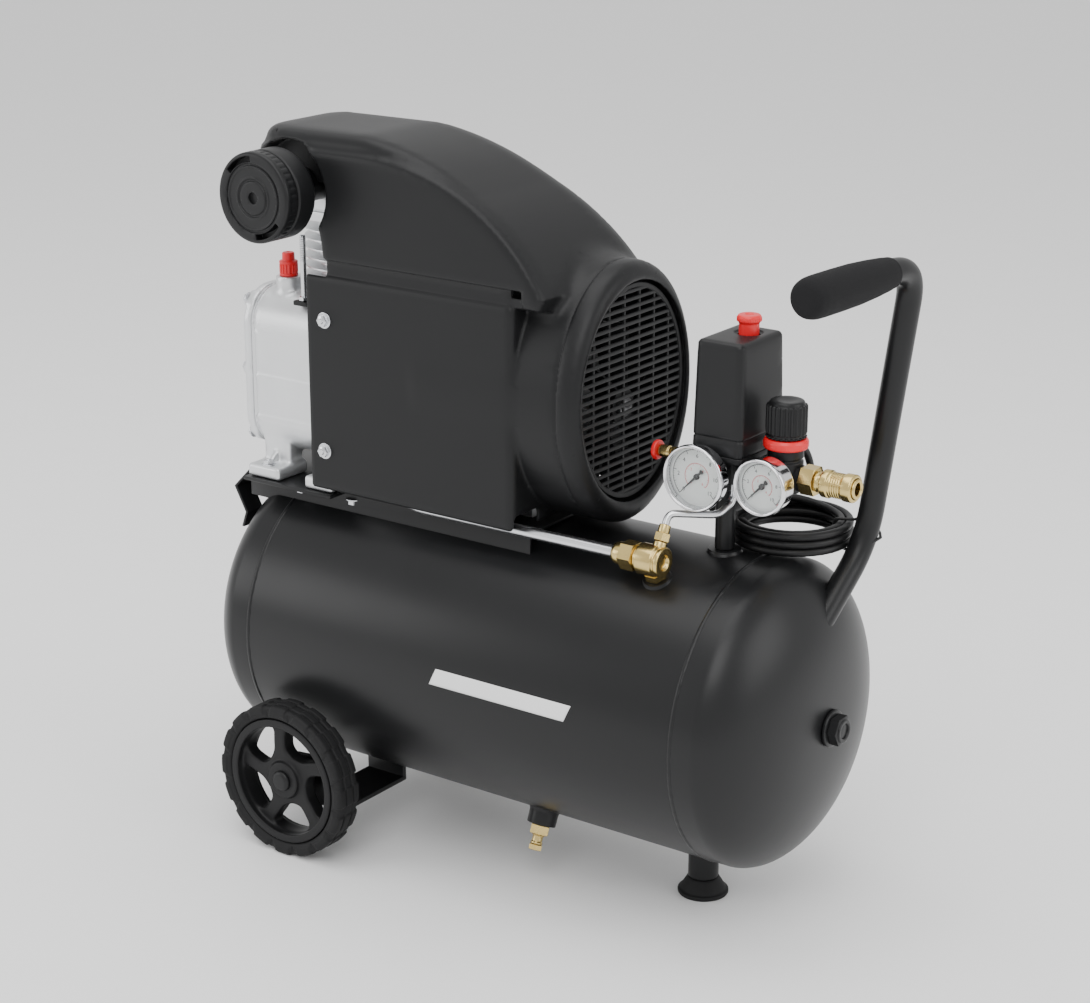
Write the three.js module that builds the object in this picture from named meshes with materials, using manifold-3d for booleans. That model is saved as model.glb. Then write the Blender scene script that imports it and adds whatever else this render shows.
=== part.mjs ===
// A portable air compressor: a horizontal tank on two wheels and a foot, with a direct-drive piston pump
// under a moulded shroud, a pressure switch with its gauges and regulator, and a push handle.
// Millimetres. X runs along the tank to the handle, -Y is the front, +Z is up.
import * as THREE from "three";
import { mergeVertices } from "three/addons/utils/BufferGeometryUtils.js";
import Module from "manifold-3d";

const wasm = await Module();
wasm.setup();

// ---------------------------------------------------------------- driving dimensions
const GAP = 0.3; // between pieces that touch
const RUNNING = 0.4; // radial clearance of a shaft in a hole

const tank = { radius: 125, length: 423, wall: 2, flange: 18, dome: 51, clearance: 48.5 };
const foot = { postRadius: 12.5, inset: 43.5, height: 15, topRadius: 13, rimRadius: 21, rim: 3.5 };
const wheel = { radius: 67, width: 27, rimRadius: 55, hubRadius: 22, webThickness: 7, spokes: 5, inset: 54 };
const axle = { radius: 5, headRadius: 9, head: 4, nutRadius: 8.5, nut: 7 };
const bracket = {
  width: 40, plate: 4, drop: 7.5, saddle: 38, inset: 55.5, earInset: 8, earRise: 30, lug: 14,
};
const drain = {
  inset: 165.5, tilt: 155, bossRadius: 12, boss: 13, hexRadius: 8.5, hex: 8, neck: 8, neckRadius: 5,
  screwRadius: 6, screw: 5,
};
const plug = { flangeRadius: 15, flange: 3, hexRadius: 12.5, hex: 10 };
const platform = { left: 50, right: 248.5, halfWidth: 60.5, plate: 3, skirt: 24, earHalfWidth: 82 };
const hook = { width: 20, reach: 20, drop: 42, y: -50, foot: 8, toe: 14 };

const pump = { inset: 23.5, shaftHeight: 98, stroke: 38, bore: 47, rod: 85 };
const crankcase = {
  front: 62, back: 38, halfWidth: 66, below: 78, above: 62, corner: 32, cavity: 50, wall: 12,
};
const cover = { flange: 8, bulge: 17, bulgeRadius: 52 };
const pumpFoot = {
  halfWidth: 78, innerHalf: 40, legHalf: 60, height: 11, front: 60, frontLength: 35, back: 33, backLength: 30,
  legTop: 45,
};
const cylinder = { height: 60, coreRadius: 31, finRadius: 43, fins: 4 };
const head = { height: 43, halfWidth: 44 };
const piston = { height: 31, clearance: 0.1, pinHeight: 14, pinRadius: 4 };
const rod = { thickness: 12, smallEnd: 8, bigEnd: 15, pinRadius: 9.5 };
const shaft = { radius: 8, discRadius: 33, disc: 10, reliefDepth: 10, reliefFrom: 12, lobeRadius: 15 };
const filter = { radius: 37, rise: 253, faceY: -125, depth: 40, cap: 14, neckRadius: 13, dimple: 5 };
const oilPlug = { offsetX: -40, y: -40, radius: 8, height: 20, stemRadius: 4, stem: 12, neck: 10 };
const sightGlass = { radius: 13, thickness: 4, below: 34 };

const motor = {
  adapter: 38, adapterWall: 13, radius: 65, stator: 112, rotorRadius: 37, airGap: 0.8, bell: 17,
  ventRadius: 13, ventCircle: 40,
};
const fan = { radius: 66, width: 22, inset: 14, blades: 7, hubRadius: 15, blade: 2.5, pitch: 0.35 };
const shroud = {
  halfWidth: 85, wall: 3.5, left: 41.5, panelRight: 249.5, panelBottom: 5, panelTop: 186, groove: 15,
  grooveDepth: 2, hoodLeft: -28.5, hoodRight: 273.5, hoodFloor: 246, hoodCorner: 38, cap: 13, capInset: 12,
  barrelLeft: 150, mouth: 309.5, barrelRise: 106, barrelCentre: 110, scoop: 26, scoopMargin: 4,
};
const grille = {
  halfWidth: 73, halfHeight: 85, rise: 2, thickness: 3, rows: 9, columns: 3, bar: 3, rim: 4, setBack: 5,
};

const controls = {
  inset: 30.5, height: 71.5, pipeRadius: 8, bossRadius: 13, boss: 2.5, block: 17, blockHeight: 22,
};
const pressureSwitch = {
  offsetX: 9.5, halfLength: 22.5, halfWidth: 33, base: 5, height: 88, taper: 2, wall: 2.5, works: 48,
};
const knob = { offsetX: 11.5, y: 9, radius: 8, rimRadius: 9.5, height: 14, inside: 26 };
const tankGauge = { radius: 26.5, depth: 17, frontY: -51, recess: 8 };
const outletGauge = { radius: 22.5, depth: 22, frontY: -42, recess: 6.5 };
const regulator = {
  offsetX: 52, radius: 14, armRadius: 10.3, bonnet: 22, spindleRadius: 4, spindle: 16, ringRadius: 17.5,
  ring: 8, knobRadius: 16, knob: 29, lift: 3,
};
const coupler = {
  hexRadius: 12, hex: 13, sleeveRadius: 11, noseRadius: 8, boreRadius: 5, length: 47, travel: 4,
};
const safety = {
  hexRadius: 9, hex: 12, barrelRadius: 5, stemRadius: 2.5, length: 44, capRadius: 8, cap: 4, travel: 3,
};
const checkValve = {
  inset: 57, tilt: 26.2, bossRadius: 11, boss: 2, height: 20, radius: 12.5, halfLength: 12, stemRadius: 9,
  portRadius: 5.5, portOffset: 4, lift: 29, liftTilt: 53,
};
const pipe = { radius: 4.75, socket: 1, nutRadius: 12, nut: 21, unloaderRadius: 3 };
const handle = {
  radius: 10, wall: 1.5, gripHeight: 229.5, legY: 70, gripRadius: 16, gripLength: 106, bend: 30,
};
const cord = { radius: 3.2, coilTurnsWide: 2, coilTurnsHigh: 3, coilInner: 36.3, coilX: 27, coilY: 56.5 };

// ---------------------------------------------------------------- places that follow from them
const tankZ = tank.clearance + tank.radius;
const tankTop = tankZ + tank.radius;
const leftEnd = -tank.length / 2;
const rightEnd = tank.length / 2;
const deckZ = tankTop + GAP + platform.plate;
const pumpX = leftEnd + pump.inset;
const shaftZ = deckZ + pump.shaftHeight;
const crankX = { left: pumpX - crankcase.front, right: pumpX + crankcase.back };
const caseTop = shaftZ + crankcase.above;
const throwRadius = pump.stroke / 2;
const wristZ = shaftZ + throwRadius + pump.rod;
const headZ = caseTop + cylinder.height;
const statorX = crankX.right + motor.adapter;
const bellX = statorX + motor.stator;
const fanX = leftEnd + shroud.mouth - fan.inset - fan.width;
const grilleX = leftEnd + shroud.mouth - grille.setBack - grille.thickness;
const filterZ = deckZ + filter.rise;
const filterBackY = filter.faceY + filter.depth;
const riserX = rightEnd - controls.inset;
const controlZ = tankTop + controls.height;
const switchX = riserX + pressureSwitch.offsetX;
const switchZ = controlZ + controls.blockHeight / 2 + pressureSwitch.base;
const switchTop = switchZ + pressureSwitch.height;
const regulatorX = riserX + regulator.offsetX;
const checkX = rightEnd - checkValve.inset;
const axleX = leftEnd + wheel.inset;
const wheelInnerY = tank.radius + 0.5;

// ---------------------------------------------------------------- finishes
const FINISH = {
  blackPaint: { color: 0x2a2b2d, roughness: 0.42, metalness: 0.2 },
  blackPlastic: { color: 0x252628, roughness: 0.5, metalness: 0 },
  rubber: { color: 0x1c1c1d, roughness: 0.8, metalness: 0 },
  castAluminium: { color: 0xc9cbcd, roughness: 0.42, metalness: 0.9 },
  steel: { color: 0xb9bbbd, roughness: 0.3, metalness: 1 },
  brass: { color: 0xb59a4a, roughness: 0.28, metalness: 1 },
  chrome: { color: 0xdadcde, roughness: 0.12, metalness: 1 },
  red: { color: 0xe31b23, roughness: 0.4, metalness: 0 },
  glass: { color: 0xcfd8da, roughness: 0.1, metalness: 0 },
};

// ---------------------------------------------------------------- shape helpers
function toSolid(geometry) {
  const bare = geometry.index ? geometry.toNonIndexed() : geometry.clone();
  bare.deleteAttribute("normal");
  bare.deleteAttribute("uv");
  const merged = mergeVertices(bare, 1e-4);
  const vertProperties = merged.attributes.position.array;
  const triVerts = new Uint32Array(merged.index.array);
  return new wasm.Manifold(new wasm.Mesh({ numProp: 3, vertProperties, triVerts }));
}

function toGeometry(solid) {
  const mesh = solid.getMesh();
  const geometry = new THREE.BufferGeometry();
  geometry.setAttribute("position", new THREE.BufferAttribute(mesh.vertProperties, 3));
  geometry.setIndex(new THREE.BufferAttribute(mesh.triVerts, 1));
  geometry.computeVertexNormals();
  return geometry;
}

const join = (...parts) => toGeometry(parts.map(toSolid).reduce((a, b) => a.add(b)));
const common = (...parts) => toGeometry(parts.map(toSolid).reduce((a, b) => a.intersect(b)));
const cut = (body, ...tools) => toGeometry(tools.map(toSolid).reduce((a, b) => a.subtract(b), toSolid(body)));

const AXES = {
  x: new THREE.Matrix4().makeRotationZ(-Math.PI / 2),
  y: new THREE.Matrix4(),
  z: new THREE.Matrix4().makeRotationX(Math.PI / 2),
};

// A profile of [radius, distance] points turned about the named axis.
function turned(profile, axis = "z", sides = 16) {
  const points = profile.map(([radius, distance]) => new THREE.Vector2(radius, distance));
  return new THREE.LatheGeometry(points, sides).applyMatrix4(AXES[axis]);
}

const disc = (radius, from, to, axis = "z", sides = 16) =>
  turned([[0, from], [radius, from], [radius, to], [0, to]], axis, sides);

const ring = (inner, outer, from, to, axis = "z", sides = 16) =>
  turned([[inner, from], [outer, from], [outer, to], [inner, to], [inner, from]], axis, sides);

function box(x0, x1, y0, y1, z0, z1) {
  const geometry = new THREE.BoxGeometry(x1 - x0, y1 - y0, z1 - z0);
  return geometry.translate((x0 + x1) / 2, (y0 + y1) / 2, (z0 + z1) / 2);
}

const extrude = (shape, depth) =>
  new THREE.ExtrudeGeometry(shape, { depth, bevelEnabled: false, curveSegments: 5 });

const ALONG_X = new THREE.Matrix4().makeBasis(
  new THREE.Vector3(0, 1, 0), new THREE.Vector3(0, 0, 1), new THREE.Vector3(1, 0, 0));
const ALONG_Y = new THREE.Matrix4().makeBasis(
  new THREE.Vector3(1, 0, 0), new THREE.Vector3(0, 0, 1), new THREE.Vector3(0, -1, 0));

// A shape drawn in (y, z), (x, z) or (x, y) and made solid between two planes.
const slabX = (shape, x0, x1) => extrude(shape, x1 - x0).applyMatrix4(ALONG_X).translate(x0, 0, 0);
const slabY = (shape, y0, y1) => extrude(shape, y1 - y0).applyMatrix4(ALONG_Y).translate(0, y1, 0);
const slabZ = (shape, z0, z1) => extrude(shape, z1 - z0).translate(0, 0, z0);

const polygon = (points) => new THREE.Shape(points.map(([a, b]) => new THREE.Vector2(a, b)));

function ellipse(centreA, centreB, radiusA, radiusB, sides = 32) {
  const at = (i) => (2 * Math.PI * i) / sides;
  const points = Array.from({ length: sides }, (_, i) =>
    [centreA + radiusA * Math.cos(at(i)), centreB + radiusB * Math.sin(at(i))]);
  return polygon(points);
}

function roundedRectangle(a0, a1, b0, b1, corner) {
  const shape = new THREE.Shape();
  shape.moveTo(a0 + corner, b0);
  shape.lineTo(a1 - corner, b0);
  shape.absarc(a1 - corner, b0 + corner, corner, -Math.PI / 2, 0);
  shape.absarc(a1 - corner, b1 - corner, corner, 0, Math.PI / 2);
  shape.absarc(a0 + corner, b1 - corner, corner, Math.PI / 2, Math.PI);
  shape.absarc(a0 + corner, b0 + corner, corner, Math.PI, 1.5 * Math.PI);
  return shape;
}

const hexagon = (radius, from, to, axis = "z") => disc(radius, from, to, axis, 6);

// A route of straight runs whose corners are rounded, as a curve.
function route(points, bend) {
  const p = points.map((point) => new THREE.Vector3(...point));
  const path = new THREE.CurvePath();
  let start = p[0];
  for (let i = 1; i < p.length - 1; i += 1) {
    const into = p[i].clone().add(p[i - 1].clone().sub(p[i]).setLength(bend));
    const out = p[i].clone().add(p[i + 1].clone().sub(p[i]).setLength(bend));
    path.add(new THREE.LineCurve3(start, into));
    path.add(new THREE.QuadraticBezierCurve3(into, p[i], out));
    start = out;
  }
  path.add(new THREE.LineCurve3(start, p[p.length - 1]));
  return path;
}

function circle(radius, sides) {
  const at = (i) => (2 * Math.PI * i) / sides;
  return Array.from({ length: sides }, (_, i) => [radius * Math.cos(at(i)), radius * Math.sin(at(i))]);
}

// A tube or a solid rod along a curve; inner is the bore's radius, or 0.
function tube(path, radius, steps, sides = 10, inner = 0) {
  const shape = polygon(circle(radius, sides));
  if (inner > 0) shape.holes.push(new THREE.Path(polygon(circle(inner, sides)).getPoints()));
  return new THREE.ExtrudeGeometry(shape, { steps, extrudePath: path, bevelEnabled: false });
}

const UP = new THREE.Vector3(0, 0, 1);

// A straight round bar between two points.
function bar(from, to, radius, sides = 12) {
  const start = new THREE.Vector3(...from);
  const along = new THREE.Vector3(...to).sub(start);
  const turn = new THREE.Quaternion().setFromUnitVectors(UP, along.clone().normalize());
  return disc(radius, 0, along.length(), "z", sides).applyQuaternion(turn).translate(...from);
}

const compressor = new THREE.Group();

function place(parent, x, y, z) {
  const group = new THREE.Group();
  group.position.set(x, y, z);
  parent.add(group);
  return group;
}

function add(name, finish, geometry, parent = compressor) {
  const mesh = new THREE.Mesh(geometry, new THREE.MeshStandardMaterial(FINISH[finish]));
  mesh.name = name;
  parent.add(mesh);
  return mesh;
}

// A group whose +Z leaves the tank's axis at x, tilted about X from straight up.
function radialPlace(x, degrees) {
  const group = place(compressor, x, 0, tankZ);
  group.rotation.x = THREE.MathUtils.degToRad(degrees);
  return group;
}

// ---------------------------------------------------------------- tank
const TANK_SIDES = 32;
const WELD_DEPTH = 1.4;

// The tank's outer form grown by a margin, for cutting what seats on it.
function tankForm(margin) {
  const radius = tank.radius + margin;
  const dome = tank.dome + margin;
  const from = rightEnd + tank.flange;
  const arc = Array.from({ length: 6 }, (_, i) => (Math.PI / 2) * (i / 5));
  const right = arc.map((t) => [onAxis(radius * Math.cos(t)), from + dome * Math.sin(t)]);
  const left = arc.map((t) => [onAxis(radius * Math.cos(t)), -from - dome * Math.sin(t)]).reverse();
  return turned([...left, ...right], "x", TANK_SIDES);
}

// A radius that a cosine leaves a hair off the axis, put on it.
function onAxis(value) {
  return Math.abs(value) < 1e-6 ? 0 : value;
}

function tankWrapper() {
  const { radius, wall } = tank;
  const shell = ring(radius - wall, radius, leftEnd, rightEnd, "x", TANK_SIDES).translate(0, 0, tankZ);
  const riserBoss = disc(controls.bossRadius, tankTop - WELD_DEPTH, tankTop + controls.boss);
  riserBoss.translate(riserX, 0, 0);
  const post = disc(foot.postRadius, foot.height, tank.clearance + WELD_DEPTH);
  post.translate(rightEnd - foot.inset, 0, 0);
  const onTank = (geometry, x, degrees) =>
    geometry.rotateX(THREE.MathUtils.degToRad(degrees)).translate(x, 0, tankZ);
  const drainBoss = onTank(disc(drain.bossRadius, radius - WELD_DEPTH, radius + drain.boss),
    rightEnd - drain.inset, drain.tilt);
  const checkBoss = onTank(disc(checkValve.bossRadius, radius - WELD_DEPTH, radius + checkValve.boss),
    checkX, checkValve.tilt);
  return join(shell, riserBoss, post, drainBoss, checkBoss);
}

function tankHead() {
  const { radius, wall, flange, dome } = tank;
  const from = rightEnd + flange;
  const steps = 5;
  const arc = (r, depth) => Array.from({ length: steps + 1 }, (_, i) => {
    const t = (Math.PI / 2) * (i / steps);
    return [onAxis(r * Math.cos(t)), from + depth * Math.sin(t)];
  });
  const outer = [[radius, rightEnd + GAP], ...arc(radius, dome)];
  const inner = [[radius - wall, rightEnd + GAP], ...arc(radius - wall, dome - wall)].reverse();
  return turned([...inner, ...outer], "x", TANK_SIDES);
}

function endPlug() {
  const from = rightEnd + tank.flange + tank.dome + GAP;
  const flange = disc(plug.flangeRadius, from, from + plug.flange, "x", 16);
  return join(flange, hexagon(plug.hexRadius, from + plug.flange - 0.5, from + plug.flange + plug.hex, "x"));
}

function addTank() {
  add("tank_wrapper", "blackPaint", tankWrapper());
  const axis = place(compressor, 0, 0, tankZ);
  add("tank_head_right", "blackPaint", tankHead(), axis);
  add("tank_head_left", "blackPaint", tankHead(), axis).rotation.z = Math.PI;
  add("end_plug", "blackPaint", endPlug(), axis);
}

function addDrain() {
  const group = radialPlace(rightEnd - drain.inset, drain.tilt);
  const from = tank.radius + drain.boss + GAP;
  const neckEnd = from + drain.hex + drain.neck;
  const neck = disc(drain.neckRadius, from + 2, neckEnd, "z", 12);
  const body = join(hexagon(drain.hexRadius, from, from + drain.hex), neck);
  add("drain_valve_body", "brass", body, group);
  add("drain_screw", "brass", hexagon(drain.screwRadius, neckEnd + GAP, neckEnd + GAP + drain.screw), group);
}

// ---------------------------------------------------------------- running gear
function addFoot() {
  const top = foot.height - GAP;
  const { rimRadius, rim, topRadius } = foot;
  const profile = [[0, 0], [rimRadius - 2, 0], [rimRadius, rim], [topRadius, top], [0, top]];
  add("rubber_foot", "rubber", turned(profile), place(compressor, rightEnd - foot.inset, 0, 0));
}

function wheelBracket() {
  const x0 = leftEnd + bracket.inset;
  const x1 = x0 + bracket.width;
  const low = tank.clearance - bracket.drop - bracket.plate;
  const outer = wheelInnerY - bracket.earInset;
  const saddleTop = tankZ - Math.sqrt(tank.radius ** 2 - bracket.saddle ** 2) - 1;
  const saddleRing = ring(tank.radius + GAP, tank.radius + GAP + bracket.plate, x0, x1, "x", TANK_SIDES);
  saddleRing.translate(0, 0, tankZ);
  const saddle = common(saddleRing, box(x0 - 1, x1 + 1, -bracket.saddle, bracket.saddle, 0, tankZ));
  const parts = [saddle];
  for (const side of [-1, 1]) {
    const span = [side * bracket.saddle, side * outer].sort((a, b) => a - b);
    const web = [side * (bracket.saddle - bracket.plate), side * bracket.saddle].sort((a, b) => a - b);
    const ear = [side * (outer - bracket.plate), side * outer].sort((a, b) => a - b);
    parts.push(box(x0, x1, span[0], span[1], low, low + bracket.plate));
    parts.push(box(x0, x1, web[0], web[1], low, saddleTop));
    const { lug, earRise } = bracket;
    const earShape = polygon([[x1, low], [x1, low + earRise], [axleX + lug, wheel.radius + lug],
      [axleX - lug + 2, wheel.radius + lug - 2], [axleX - lug, wheel.radius - lug + 4], [x0, low]]);
    parts.push(slabY(earShape, ear[0], ear[1]));
  }
  const bolt = disc(axle.radius + RUNNING, -outer - 5, outer + 5, "y").translate(axleX, 0, wheel.radius);
  return cut(join(...parts), bolt);
}

const WHEEL_SIDES = 24;

function wheelRim() {
  const half = wheel.width / 2 - 1.5;
  const hubHalf = wheel.width / 2 - axle.head - 0.5;
  const { hubRadius, rimRadius, webThickness } = wheel;
  const hub = ring(axle.radius + RUNNING, hubRadius, -hubHalf, hubHalf, "y", 16);
  const web = ring(hubRadius - 4, rimRadius - 3, -webThickness / 2, webThickness / 2, "y", WHEEL_SIDES);
  const band = ring(rimRadius - 5, rimRadius, -half, half, "y", WHEEL_SIDES);
  const windows = Array.from({ length: wheel.spokes }, (_, i) => {
    const start = (2 * Math.PI * i) / wheel.spokes;
    const shape = new THREE.Shape();
    shape.absarc(0, 0, rimRadius - 7, start, start + 0.85);
    shape.absarc(0, 0, hubRadius + 4, start + 0.35, start - 0.35, true);
    return slabY(shape, -webThickness, webThickness);
  });
  return cut(join(hub, web, band), ...windows);
}

function wheelTyre() {
  const half = wheel.width / 2;
  const inner = wheel.rimRadius + GAP;
  const { radius } = wheel;
  const profile = [[inner, -half], [radius - 5, -half], [radius, -half + 5], [radius, half - 5],
    [radius - 5, half], [inner, half], [inner, -half]];
  return turned(profile, "y", WHEEL_SIDES);
}

function axleBolt() {
  const inner = wheelInnerY - bracket.earInset - bracket.plate;
  const wheelOuter = wheelInnerY + wheel.width - axle.head - 0.2;
  const nut = hexagon(axle.nutRadius, inner - GAP - axle.nut, inner - GAP, "y");
  const stem = disc(axle.radius, inner - GAP - 1, wheelOuter + 1, "y", 16);
  return join(nut, stem, disc(axle.headRadius, wheelOuter, wheelOuter + axle.head, "y", 16));
}

function addRunningGear() {
  addFoot();
  add("wheel_bracket", "blackPaint", wheelBracket());
  for (const [end, side] of [["front", -1], ["rear", 1]]) {
    const hub = place(compressor, axleX, side * (wheelInnerY + wheel.width / 2), wheel.radius);
    add("wheel_rim_" + end, "blackPlastic", wheelRim(), hub);
    add("wheel_tyre_" + end, "rubber", wheelTyre(), hub);
    const bolt = add("axle_bolt_" + end, "steel", axleBolt(), place(compressor, axleX, 0, wheel.radius));
    if (side < 0) bolt.rotation.z = Math.PI;
  }
}

// ---------------------------------------------------------------- platform
function pumpPlatform() {
  const x0 = leftEnd - platform.left;
  const x1 = leftEnd + platform.right;
  const { halfWidth, plate, skirt, earHalfWidth } = platform;
  const base = deckZ - plate;
  const parts = [box(x0, x1, -halfWidth, halfWidth, base, deckZ)];
  const earX = [pumpX - pumpFoot.front - 2, pumpX + pumpFoot.back + 2];
  parts.push(box(earX[0], earX[1], -earHalfWidth, earHalfWidth, base, deckZ));
  for (const side of [-1, 1]) {
    const y = side * (halfWidth - plate / 2);
    parts.push(box(x0, x1, y - plate / 2, y + plate / 2, deckZ - skirt, deckZ));
  }
  return cut(join(...parts), tankForm(GAP).translate(0, 0, tankZ));
}

function platformHook() {
  const x = leftEnd - platform.left - GAP;
  const top = deckZ;
  const t = platform.plate;
  const knee = [x - hook.reach, top - hook.reach];
  const shin = [x - hook.reach / 4, top - hook.drop];
  const toe = [shin[0] - hook.foot, shin[1] - hook.toe];
  const outline = polygon([[x, top], knee, [shin[0] - t, shin[1]], toe, [toe[0] + t, toe[1]], shin,
    [knee[0] + t, knee[1]], [x, top - t]]);
  return slabY(outline, hook.y - hook.width / 2, hook.y + hook.width / 2);
}

// ---------------------------------------------------------------- pump
function caseShape(shrink = 0) {
  const { halfWidth, below, above, corner } = crankcase;
  return roundedRectangle(-halfWidth + shrink, halfWidth - shrink, shaftZ - below + shrink,
    shaftZ + above - shrink, corner - shrink / 2);
}

function crankcaseBody() {
  const { left, right } = crankX;
  const { wall } = crankcase;
  const shell = slabX(caseShape(), left, right);
  const adapter = ring(motor.radius - motor.adapterWall, motor.radius, right - 1, statorX - GAP, "x", 24);
  adapter.translate(0, 0, shaftZ);
  const neck = disc(oilPlug.radius + 3, caseTop - 16, caseTop + oilPlug.neck, "z", 16);
  neck.translate(pumpX + oilPlug.offsetX, oilPlug.y, 0);
  const parts = [shell, adapter, neck];
  const { front, frontLength, back, backLength, innerHalf, legHalf, legTop } = pumpFoot;
  for (const [x0, x1] of [[-front, frontLength - front], [back - backLength, back]]) {
    for (const side of [-1, 1]) {
      const pad = [side * innerHalf, side * pumpFoot.halfWidth].sort((a, b) => a - b);
      const leg = [side * innerHalf, side * legHalf].sort((a, b) => a - b);
      parts.push(box(pumpX + x0, pumpX + x1, pad[0], pad[1], deckZ + GAP, deckZ + pumpFoot.height));
      parts.push(box(pumpX + x0, pumpX + x1, leg[0], leg[1], deckZ + GAP, shaftZ - legTop));
    }
  }
  const cavity = disc(crankcase.cavity, left - 1, right - wall, "x", 20).translate(0, 0, shaftZ);
  const sump = box(left - 1, right - wall, -innerHalf, innerHalf, shaftZ - crankcase.below + wall, shaftZ);
  const mouth = disc(pump.bore / 2 + 2, shaftZ, caseTop + 1, "z", 24).translate(pumpX, 0, 0);
  const bearing = disc(shaft.radius + RUNNING, right - wall - 1, right + 1, "x").translate(0, 0, shaftZ);
  const filler = disc(oilPlug.stemRadius + RUNNING, caseTop - oilPlug.stem + oilPlug.neck - 1,
    caseTop + oilPlug.neck + 1, "z", 12).translate(pumpX + oilPlug.offsetX, oilPlug.y, 0);
  return cut(join(...parts), cavity, sump, mouth, bearing, filler);
}

function crankcaseCover() {
  const right = crankX.left - GAP;
  const left = right - cover.flange;
  const middle = shaftZ + (crankcase.above - crankcase.below) / 2;
  const flange = slabX(caseShape(), left, right);
  const { bulge, bulgeRadius } = cover;
  const dome = turned([[0, left - bulge], [bulgeRadius - 12, left - bulge], [bulgeRadius, left - bulge + 9],
    [bulgeRadius + 3, left + 1], [0, left + 1]], "x", 28).translate(0, 0, middle);
  const recess = disc(bulgeRadius - 14, left - bulge + 5, right + 1, "x", 24).translate(0, 0, middle);
  return cut(join(flange, dome), recess);
}

const BORE_SIDES = 18;

function finnedCylinder() {
  const { coreRadius, finRadius, fins, height } = cylinder;
  const bore = pump.bore / 2;
  const bottom = caseTop + GAP;
  const top = headZ - GAP;
  const pitch = (height - 10) / fins;
  const outer = [[bore, bottom], [coreRadius, bottom]];
  for (let i = 0; i < fins; i += 1) {
    const z = bottom + 8 + i * pitch;
    outer.push([coreRadius, z], [finRadius, z + 0.8], [finRadius, z + 3.2], [coreRadius, z + 4]);
  }
  outer.push([coreRadius, top], [bore, top], [bore, bottom]);
  return turned(outer, "z", BORE_SIDES).translate(pumpX, 0, 0);
}

function cylinderHead() {
  const { halfWidth, height } = head;
  const blockTop = headZ + height * 0.55;
  const block = box(pumpX - halfWidth, pumpX + halfWidth, -halfWidth, halfWidth, headZ, blockTop);
  const fins = Array.from({ length: 5 }, (_, i) => {
    const x = pumpX - halfWidth + 4 + i * ((2 * halfWidth - 12) / 4);
    return box(x, x + 4, -halfWidth + 2, halfWidth - 2, headZ + height * 0.5, headZ + height);
  });
  return join(block, ...fins);
}

function pistonBody() {
  const radius = pump.bore / 2 - piston.clearance;
  const bottom = wristZ - piston.pinHeight;
  const body = disc(radius, bottom, bottom + piston.height, "z", BORE_SIDES).translate(pumpX, 0, 0);
  const half = rod.thickness / 2 + 1;
  const slotTop = wristZ + rod.smallEnd + 3;
  const slot = box(pumpX - half, pumpX + half, -radius + 2, radius - 2, bottom - 1, slotTop);
  const pin = disc(piston.pinRadius, pumpX - half - 2, pumpX + half + 2, "x", 16).translate(0, 0, wristZ);
  return join(cut(body, slot), pin);
}

function connectingRod() {
  const bigZ = shaftZ + throwRadius;
  const x0 = pumpX - rod.thickness / 2;
  const x1 = pumpX + rod.thickness / 2;
  const small = disc(rod.smallEnd, x0, x1, "x").translate(0, 0, wristZ);
  const big = disc(rod.bigEnd, x0, x1, "x").translate(0, 0, bigZ);
  const shank = box(x0 + 2, x1 - 2, -6, 6, bigZ, wristZ);
  const pinHole = disc(piston.pinRadius + RUNNING, x0 - 1, x1 + 1, "x", 16).translate(0, 0, wristZ);
  const crankHole = disc(rod.pinRadius + 0.05, x0 - 1, x1 + 1, "x", 16).translate(0, 0, bigZ);
  return cut(join(small, big, shank), pinHole, crankHole);
}

function crankshaft() {
  const pinEnd = pumpX + rod.thickness / 2 + 0.5;
  const discX = pinEnd + 4;
  const main = disc(shaft.radius, discX + 1, fanX + fan.width + 3, "x");
  const web = disc(shaft.discRadius, discX, discX + shaft.disc, "x", 24);
  const pin = disc(rod.pinRadius, pinEnd, discX + 1, "x", 16).translate(0, 0, throwRadius);
  const { discRadius, reliefDepth, reliefFrom, lobeRadius } = shaft;
  const relief = ring(discRadius - reliefDepth, discRadius + 1, discX - 1, discX + shaft.disc + 1, "x", 24);
  const halfWidth = discRadius + 2;
  const upper = box(discX - 2, discX + shaft.disc + 2, -halfWidth, halfWidth, reliefFrom, 2 * discRadius);
  const lobe = disc(lobeRadius, discX, discX + shaft.disc, "x").translate(0, 0, throwRadius - 4);
  return join(cut(web, common(relief, upper)), lobe, pin, main).translate(0, 0, shaftZ);
}

function oilFillerPlug() {
  const seat = caseTop + oilPlug.neck;
  const { radius, height, stemRadius, stem } = oilPlug;
  const stemEnd = seat - stem + 2;
  const profile = [[0, stemEnd], [stemRadius, stemEnd], [stemRadius, seat + GAP], [radius, seat + GAP],
    [radius, seat + height * 0.55], [radius - 2.5, seat + height * 0.6], [radius - 2.5, seat + height],
    [0, seat + height]];
  return turned(profile, "z", 16).translate(pumpX + oilPlug.offsetX, oilPlug.y, 0);
}

function airFilterBody() {
  const back = filterBackY;
  const front = filter.faceY + filter.cap + GAP;
  const neckEnd = -head.halfWidth - GAP;
  const profile = [[0, front], [filter.radius, front], [filter.radius, back - 6], [filter.radius - 6, back],
    [filter.neckRadius, back], [filter.neckRadius, neckEnd], [0, neckEnd]];
  return turned(profile, "y", 28).translate(pumpX, 0, filterZ);
}

function airFilterCap() {
  const front = filter.faceY;
  const back = front + filter.cap;
  const { radius, dimple } = filter;
  const profile = [[0, front + 3], [dimple, front + 3], [dimple + 1, front], [radius - 3, front],
    [radius, front + 3], [radius, back], [0, back]];
  return turned(profile, "y", 28).translate(pumpX, 0, filterZ);
}

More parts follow.
